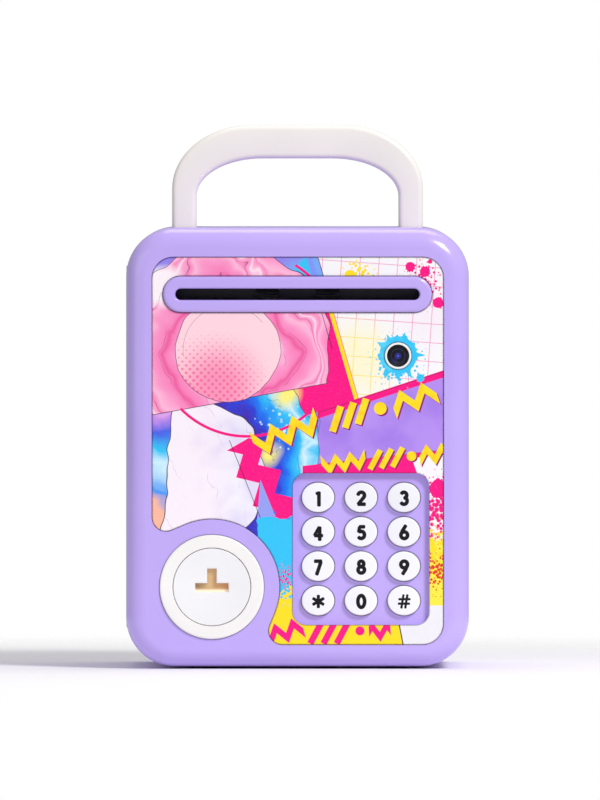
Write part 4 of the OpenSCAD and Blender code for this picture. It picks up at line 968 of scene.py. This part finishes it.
# strokes of each legend in a box one unit high, as (points, width share)
legendStrokes = {
    "1": [([(0.04, 0.40), (0.04, -0.5)], 1), ([(-0.13, 0.30), (0.02, 0.37)], 0.85)],
    "2": [(arcOf(0, 0.19, 0.215, 0.215, 172, -32) + [(-0.20, -0.39)], 1),
          ([(-0.21, -0.40), (0.25, -0.40)], 1)],
    "3": [(arcOf(-0.02, 0.20, 0.19, 0.20, 150, -82), 1), (arcOf(-0.02, -0.18, 0.22, 0.225, 84, -148), 1)],
    "4": [([(0.09, -0.5), (0.09, 0.36)], 1), ([(0.05, 0.36), (-0.25, -0.18)], 0.9),
          ([(-0.24, -0.20), (0.27, -0.20)], 0.95)],
    "5": [([(-0.12, 0.39), (0.21, 0.39)], 1), ([(-0.12, 0.36), (-0.17, 0.04)], 0.95),
          (arcOf(-0.01, -0.15, 0.225, 0.24, 125, -140), 1)],
    "6": [(arcOf(0, -0.17, 0.225, 0.225, 0, 360, 24), 1), ([(-0.20, -0.10), (-0.12, 0.12), (0.10, 0.47)], 1)],
    "7": [([(-0.24, 0.39), (0.20, 0.39)], 1), ([(0.17, 0.34), (-0.11, -0.5)], 1)],
    "8": [(arcOf(0, 0.215, 0.165, 0.18, 0, 360, 24), 1), (arcOf(0, -0.19, 0.215, 0.21, 0, 360, 24), 1)],
    "9": [(arcOf(0, 0.17, 0.225, 0.225, 0, 360, 24), 1), ([(0.20, 0.10), (0.12, -0.12), (-0.10, -0.47)], 1)],
    "0": [(arcOf(0, 0, 0.225, 0.395, 0, 360, 32), 1)],
    "hash": [([(-0.19, -0.44), (-0.05, 0.44)], 0.62), ([(0.07, -0.44), (0.21, 0.44)], 0.62),
             ([(-0.35, 0.15), (0.39, 0.15)], 0.62), ([(-0.39, -0.15), (0.35, -0.15)], 0.62)],
    "star": [([(0.05 * math.cos(a), 0.05 * math.sin(a)), (0.4 * math.cos(a), 0.4 * math.sin(a))], 0.84)
             for a in (math.radians(90 + 60 * i) for i in range(6))],
}


def finely(points, step):  # long straight runs get points between, so that a stroke follows the crown
    out = [points[0]]
    for first, last in zip(points, points[1:]):
        parts = max(1, round(math.dist(first, last) / step))
        out += [(first[0] + (last[0] - first[0]) * i / parts, first[1] + (last[1] - first[1]) * i / parts)
                for i in range(1, parts + 1)]
    return out


def strokeBand(shape, points, width, place, lift):  # one stroke with rounded ends, laid on the key's face
    half = width / 2
    closed = math.dist(points[0], points[-1]) < 1e-6
    points = finely(points, keyLook["step"])
    if closed:
        points = points[:-1]
    count = len(points)
    left, right = [], []
    for i, (x, z) in enumerate(points):
        before = points[i - 1] if (i or closed) else None
        after = points[(i + 1) % count] if (i < count - 1 or closed) else None
        ways = []
        if before:
            ways.append((x - before[0], z - before[1]))
        if after:
            ways.append((after[0] - x, after[1] - z))
        ways = [(dx / math.hypot(dx, dz), dz / math.hypot(dx, dz)) for dx, dz in ways]
        nx, nz = -sum(w[1] for w in ways), sum(w[0] for w in ways)
        size = math.hypot(nx, nz)
        nx, nz = nx / size, nz / size
        mitre = 1 / max(0.5, abs(nx * -ways[0][1] + nz * ways[0][0]))
        left.append((x + nx * half * mitre, z + nz * half * mitre))
        right.append((x - nx * half * mitre, z - nz * half * mitre))

    def put(point):
        shape.verts.append(place(point, lift))
        return len(shape.verts) - 1

    leftIds = [put(p) for p in left]
    rightIds = [put(p) for p in right]
    for i in range(count if closed else count - 1):
        j = (i + 1) % count
        shape.faces.append((leftIds[i], leftIds[j], rightIds[j], rightIds[i]))
    if not closed:
        ends = ((points[0], points[1], leftIds[0], rightIds[0]),
                (points[-1], points[-2], rightIds[-1], leftIds[-1]))
        for at, beyond, first, last in ends:
            heading = math.atan2(at[1] - beyond[1], at[0] - beyond[0])
            fan = [first]
            for k in range(1, 6):
                along = half * keyLook["roundEnd"] * math.sin(math.pi * k / 6)
                across = -half * math.cos(math.pi * k / 6)
                fan.append(put((at[0] + along * math.cos(heading) - across * math.sin(heading),
                                at[1] + along * math.sin(heading) + across * math.cos(heading))))
            shape.faces.append(tuple(fan + [last]))


def keyLegend(node, finish):
    look = keyLook
    centre, low = midOf(node)[:2]
    shape = Shape()
    wide, tall = look["halfWide"] - look["edge"], look["halfHigh"] - look["edge"]

    def place(point, lift):
        x = point[0] * look["legend"] + look["nudge"][0]
        z = point[1] * look["legend"] + look["nudge"][1]
        share = (x / wide) ** 2 + (z / tall) ** 2
        return centre[0] + x, low.y + look["dome"] * share - lift, centre[1] + z

    for i, (points, width) in enumerate(legendStrokes[node[4:]]):
        strokeBand(shape, points, look["stroke"] * width, place, 0.018 + 0.004 * i)
    return addPiece("legend_" + node[4:], shape, finish, node)


screwLook = {"head": 1.9, "crown": 1.25, "shank": 0.85, "cross": (1.15, 0.28), "crossDeep": 0.7, "sides": 48}


def panScrews(name, node, finish, body, axis="y", headHigh=1.1):
    look = screwLook
    turns = [(math.cos(math.tau * i / look["sides"]), math.sin(math.tau * i / look["sides"]))
             for i in range(look["sides"])]

    def circle(radius, depth):
        return [(radius * c, depth, radius * s) for c, s in turns]

    def cross(grow, depth):
        arm, half = look["cross"][0] * grow, look["cross"][1] * grow
        points = []
        for c, s in turns:
            big, small = max(abs(c), abs(s)), min(abs(c), abs(s))
            reach = min(arm / big, half / max(1e-6, small))
            points.append((reach * c, depth, reach * s))
        return points

    shape = Shape()
    for low, high in looseBoxes(node):  # the head is at the high end of y, or at the low end of x
        if axis == "y":
            across = ((low.x + high.x) / 2, (low.z + high.z) / 2)
            headTop, tip, sign = high.y, low.y, -1
        else:
            across = ((low.y + high.y) / 2, (low.z + high.z) / 2)
            headTop, tip, sign = low.x, high.x, 1
        length = tip - headTop
        under, rim = sign * headHigh, sign * headHigh * 0.62
        profile = [(0.05, length), (look["shank"] * 0.55, length), (look["shank"], length * 0.85),
                   (look["shank"], under), (look["head"], under), (look["head"], rim)]
        profile += [(look["head"] - (look["head"] - look["crown"]) * along, rim * up)
                    for along, up in quarterTurn(5, 1)]
        rings = [circle(r, d) for r, d in profile] + [cross(1.0, 0.0), cross(0.75, sign * look["crossDeep"])]
        if axis == "y":
            shape.loft([[(across[0] + x, headTop + d, across[1] + z) for x, d, z in ring] for ring in rings])
        else:
            shape.loft([[(headTop + d, across[0] + x, across[1] + z) for x, d, z in ring] for ring in rings])
    return addPiece(name, shape, finish, body, 40, [node])


def looseBoxes(node):  # boxes of a CAD node's separate solids, in millimetres
    work = bmesh.new()
    work.from_mesh(nodes[node].data)
    bmesh.ops.remove_doubles(work, verts=work.verts, dist=1e-6)
    work.verts.ensure_lookup_table()
    seen, boxes = set(), []
    for start in work.verts:
        if start.index in seen:
            continue
        stack, group = [start], []
        seen.add(start.index)
        while stack:
            vert = stack.pop()
            group.append(vert.co.copy())
            for edge in vert.link_edges:
                other = edge.other_vert(vert)
                if other.index not in seen:
                    seen.add(other.index)
                    stack.append(other)
        boxes.append((Vector(min(c[i] for c in group) for i in range(3)) / mm,
                      Vector(max(c[i] for c in group) for i in range(3)) / mm))
    work.free()
    return boxes


feetLook = {"dimple": 2.2, "dimpleDeep": 0.25, "lip": 2.6,
            "steps": ((0.9, 0.0), (0.45, 0.12), (0.2, 0.42), (0, 0.5))}


def rubberFeet(finish):
    look = feetLook
    shape = Shape()
    for low, high in looseBoxes("rubber_feet"):
        radius = (high.x - low.x) / 2
        profile = [(0.15, look["dimpleDeep"]), (look["dimple"], look["dimpleDeep"]), (look["lip"], 0.02)]
        profile += [(radius - inward, up) for inward, up in look["steps"]]
        profile.append((radius, high.z - low.z))
        middle = ((low.x + high.x) / 2, (low.y + high.y) / 2)
        rings = [ovalRing(middle, r, r, low.z + up, 48) for r, up in profile]
        shape.loft([[(x, y, z) for x, z, y in ring] for ring in rings])  # the rings lie flat
    return addPiece("rubberFeet", shape, finish, "case", 40, ["rubber_feet"])


lilac = tone(194, 172, 246)
lilacDeep = tone(191, 169, 245)

gloss = mouldedPlastic("glossLilac", lilac, 0.22, 0.45, deep=lilacDeep)
satin = mouldedPlastic("satinLilac", tone(188, 168, 238), 0.42, 0.05, orange=0.9)
handleWhite = mouldedPlastic("handleWhite", tone(246, 241, 234), 0.26, 0.35)
padWhite = mouldedPlastic("padWhite", tone(248, 246, 244), 0.3, 0.25)
discWhite = mouldedPlastic("discWhite", tone(243, 243, 245), 0.32, 0.2)
keyWhite = mouldedPlastic("keyWhite", tone(244, 244, 250), 0.24, 0.35)
gearPlastic = mouldedPlastic("gearPlastic", tone(232, 228, 214), 0.45, 0.0, edge=0.00015)
black = mouldedPlastic("frameBlack", tone(34, 33, 37), 0.42, 0.05, orange=0.9)
# near-black plastic, darker than the other black parts: partly the chute's own black, partly painted shade
# inside the slot
slotBlackAndShade = mouldedPlastic("slotBlackAndShade", tone(5, 5, 7), 0.6, 0.0, orange=0.9, wear=0.2)
lampClear = mouldedPlastic("lampClear", tone(250, 244, 226), 0.1, 0.5)
silicone = roughRubber("moulded silicone", tone(186, 186, 194), 3.0)
footRubber = roughRubber("foot rubber", tone(70, 66, 78))
# black rubber, partly painted shade inside the slot
rollerRubber = roughRubber("roller rubber", tone(24, 23, 26), 2.0)
steelRod = turnedMetal("drawn rod", tone(196, 198, 202))
steelPlate = turnedMetal("stamped plate", tone(178, 180, 184), (1.0, 1.0, 9.0), 0.34)
screwMetal = turnedMetal("plated screw", tone(206, 206, 204), (4.0, 4.0, 4.0), 0.2, 0.1)
nickel = turnedMetal("nickel spring", tone(214, 210, 200), (2.0, 2.0, 2.0), 0.18, 0.1)
motorCan = turnedMetal("motor can", tone(200, 201, 204), (0.2, 6.0, 6.0), 0.26)
board = circuitBoard("solder resist")
copper = woundCopper("wound copper")
ribbon = ribbonWires("flat ribbon")
sleeve = cellSleeve("cell sleeve")
amber = clearAmber("amber window", 0.28)
lens = lensGlass("lens glass")
ink = glossInk("legend ink")
art = panelArt("printed panel")
print("finishes made:", len(bpy.data.materials))

finishOf = {  # CAD nodes by finish, and the keys take keyWhite
    gloss: ("rear_case", "door_shell", "slot_frame"), satin: ("door_cover", "battery_lid"),
    art: ("picture_panel",), padWhite: ("pad_ring", "lens_ring_trim"), discWhite: ("finger_pad",),
    lens: ("lens_glass",), black: ("camera_barrel", "speaker", "battery_box", "pad_switch", "board_chips"),
    slotBlackAndShade: ("feed_frame",), board: ("camera_board", "keypad_board", "pad_board", "main_board"),
    silicone: ("key_mat", "pad_dome"), lampClear: ("pad_led",), motorCan: ("feed_motor",),
    screwMetal: ("board_screws", "cover_screws", "battery_screw", "keeper_screws"), ribbon: ("ribbon_cable",),
    copper: ("latch_coil",), nickel: ("battery_contacts",), sleeve: ("aa_cells",), amber: ("light_guide",),
    steelRod: ("feed_shaft", "idler_shaft", "motor_shaft", "hinge_pins", "handle_pins", "latch_plunger"),
    steelPlate: ("latch_bolt", "latch_keeper"), gearPlastic: ("feed_gear", "motor_pinion"),
    rollerRubber: ("feed_rollers", "idler_rollers"), footRubber: ("rubber_feet",),
    handleWhite: ("carry_handle",),
}
nodeFinish = {name: finish for finish, names in finishOf.items() for name in names}
for name, node in nodes.items():
    finish = nodeFinish.get(name, keyWhite)
    for place in node.material_slots:
        place.material = finish
    if not node.material_slots:
        node.data.materials.append(finish)

carryingHandle(handleWhite)
slotSurround(gloss)
padSurround(padWhite)
fingerPad(discWhite)
lensPieces(padWhite, lens)
for name in sorted(nodes):
    if name.startswith("key_") and name != "key_mat":
        keyCap(name, keyWhite)
        keyLegend(name, ink)
panScrews("coverScrews", "cover_screws", screwMetal, "door")
panScrews("lidScrew", "battery_screw", screwMetal, "door", headHigh=0.9)
panScrews("keeperScrews", "keeper_screws", screwMetal, "case", axis="x", headHigh=0.7)
rubberFeet(footRubber)
print("pieces made")


studioLook = {"floor": tone(250, 249, 251), "worn": tone(244, 243, 246), "fade": (520, 170), "backdrop": 1.0,
              "ambient": 0.42, "aim": (0.001, -0.058, 0.1059), "far": 8.0, "lift": 0.75, "frameHigh": 0.3149,
              "sensor": 36}
lampLook = {  # place, width and height, power
    "keySoftbox": ((0.8, -1.05, 1.15), (0.42, 0.42), 19),
    "fillSoftbox": ((-1.1, -0.9, 0.5), (0.9, 0.9), 1.6),
    "topSoftbox": ((0.1, 0.3, 1.3), (0.9, 0.6), 3.6),
}


def paleFloor():
    finish = Finish("pale floor", {"Specular IOR Level": 0.1})
    reach = finish.place.length()
    base = finish.mix(finish.noise(0.004, 3).fade(0.3, 0.8) * 0.3, studioLook["floor"], studioLook["worn"])
    finish.feed(base, 0.7 + finish.noise(0.05, 3) * 0.1, finish.bump(finish.noise(0.4, 2), 0.05, 0.0001),
                {"Alpha": reach.fade(*studioLook["fade"])})
    shape = Shape()
    rings = [ovalRing((0, 0), r, r, 0, 96) for r in (1.0, 200.0, 600.0, 1600.0)]
    made = [shape.ring([(x, z, -0.05) for x, _, z in ring]) for ring in rings]
    for first, second in zip(made, made[1:]):
        shape.join(first, second)
    shape.cap(made[0])
    mesh = shape.mesh("paleFloor")
    mesh.materials.append(finish.material)
    floor = bpy.data.objects.new("paleFloor", mesh)
    bpy.context.scene.collection.objects.link(floor)


def softLight(name, place, size, power, target=(0, 0, 0.1)):
    lamp = bpy.data.lights.new(name, "AREA")
    lamp.shape = "RECTANGLE"
    lamp.size, lamp.size_y = size
    lamp.energy = power
    light = bpy.data.objects.new(name, lamp)
    light.location = place
    light.rotation_euler = (Vector(target) - Vector(place)).to_track_quat("-Z", "Y").to_euler()
    bpy.context.scene.collection.objects.link(light)


paleFloor()
for name, (place, size, power) in lampLook.items():
    softLight(name, place, size, power)

world = bpy.data.worlds.new("studio")
world.use_nodes = True
worldNodes, worldLinks = world.node_tree.nodes, world.node_tree.links
ambient = worldNodes["Background"]
backdrop = worldNodes.new("ShaderNodeBackground")  # what the camera sees behind the floor
for light, strength in ((ambient, studioLook["ambient"]), (backdrop, studioLook["backdrop"])):
    light.inputs["Strength"].default_value = strength
    light.inputs["Color"].default_value = (1, 1, 1, 1)
either = worldNodes.new("ShaderNodeMixShader")
worldLinks.new(worldNodes.new("ShaderNodeLightPath").outputs["Is Camera Ray"], either.inputs["Fac"])
worldLinks.new(ambient.outputs[0], either.inputs[1])
worldLinks.new(backdrop.outputs[0], either.inputs[2])
worldLinks.new(either.outputs[0], worldNodes["World Output"].inputs["Surface"])
bpy.context.scene.world = world
bpy.context.scene.view_settings.view_transform = "Standard"

lensData = bpy.data.cameras.new("studioCamera")
camera = bpy.data.objects.new("studioCamera", lensData)
aim = Vector(studioLook["aim"])
lift = math.radians(studioLook["lift"])
camera.location = aim + Vector((0, -math.cos(lift), math.sin(lift))) * studioLook["far"]
camera.rotation_euler = (aim - camera.location).to_track_quat("-Z", "Y").to_euler()
lensData.sensor_fit = "VERTICAL"
lensData.sensor_height = studioLook["sensor"]
frontGap = studioLook["far"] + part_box("door_shell")[0].y - aim.y  # from the camera to the front plane
lensData.lens = studioLook["sensor"] * frontGap / studioLook["frameHigh"]
bpy.context.scene.collection.objects.link(camera)
bpy.context.scene.camera = camera
print("studio ready")
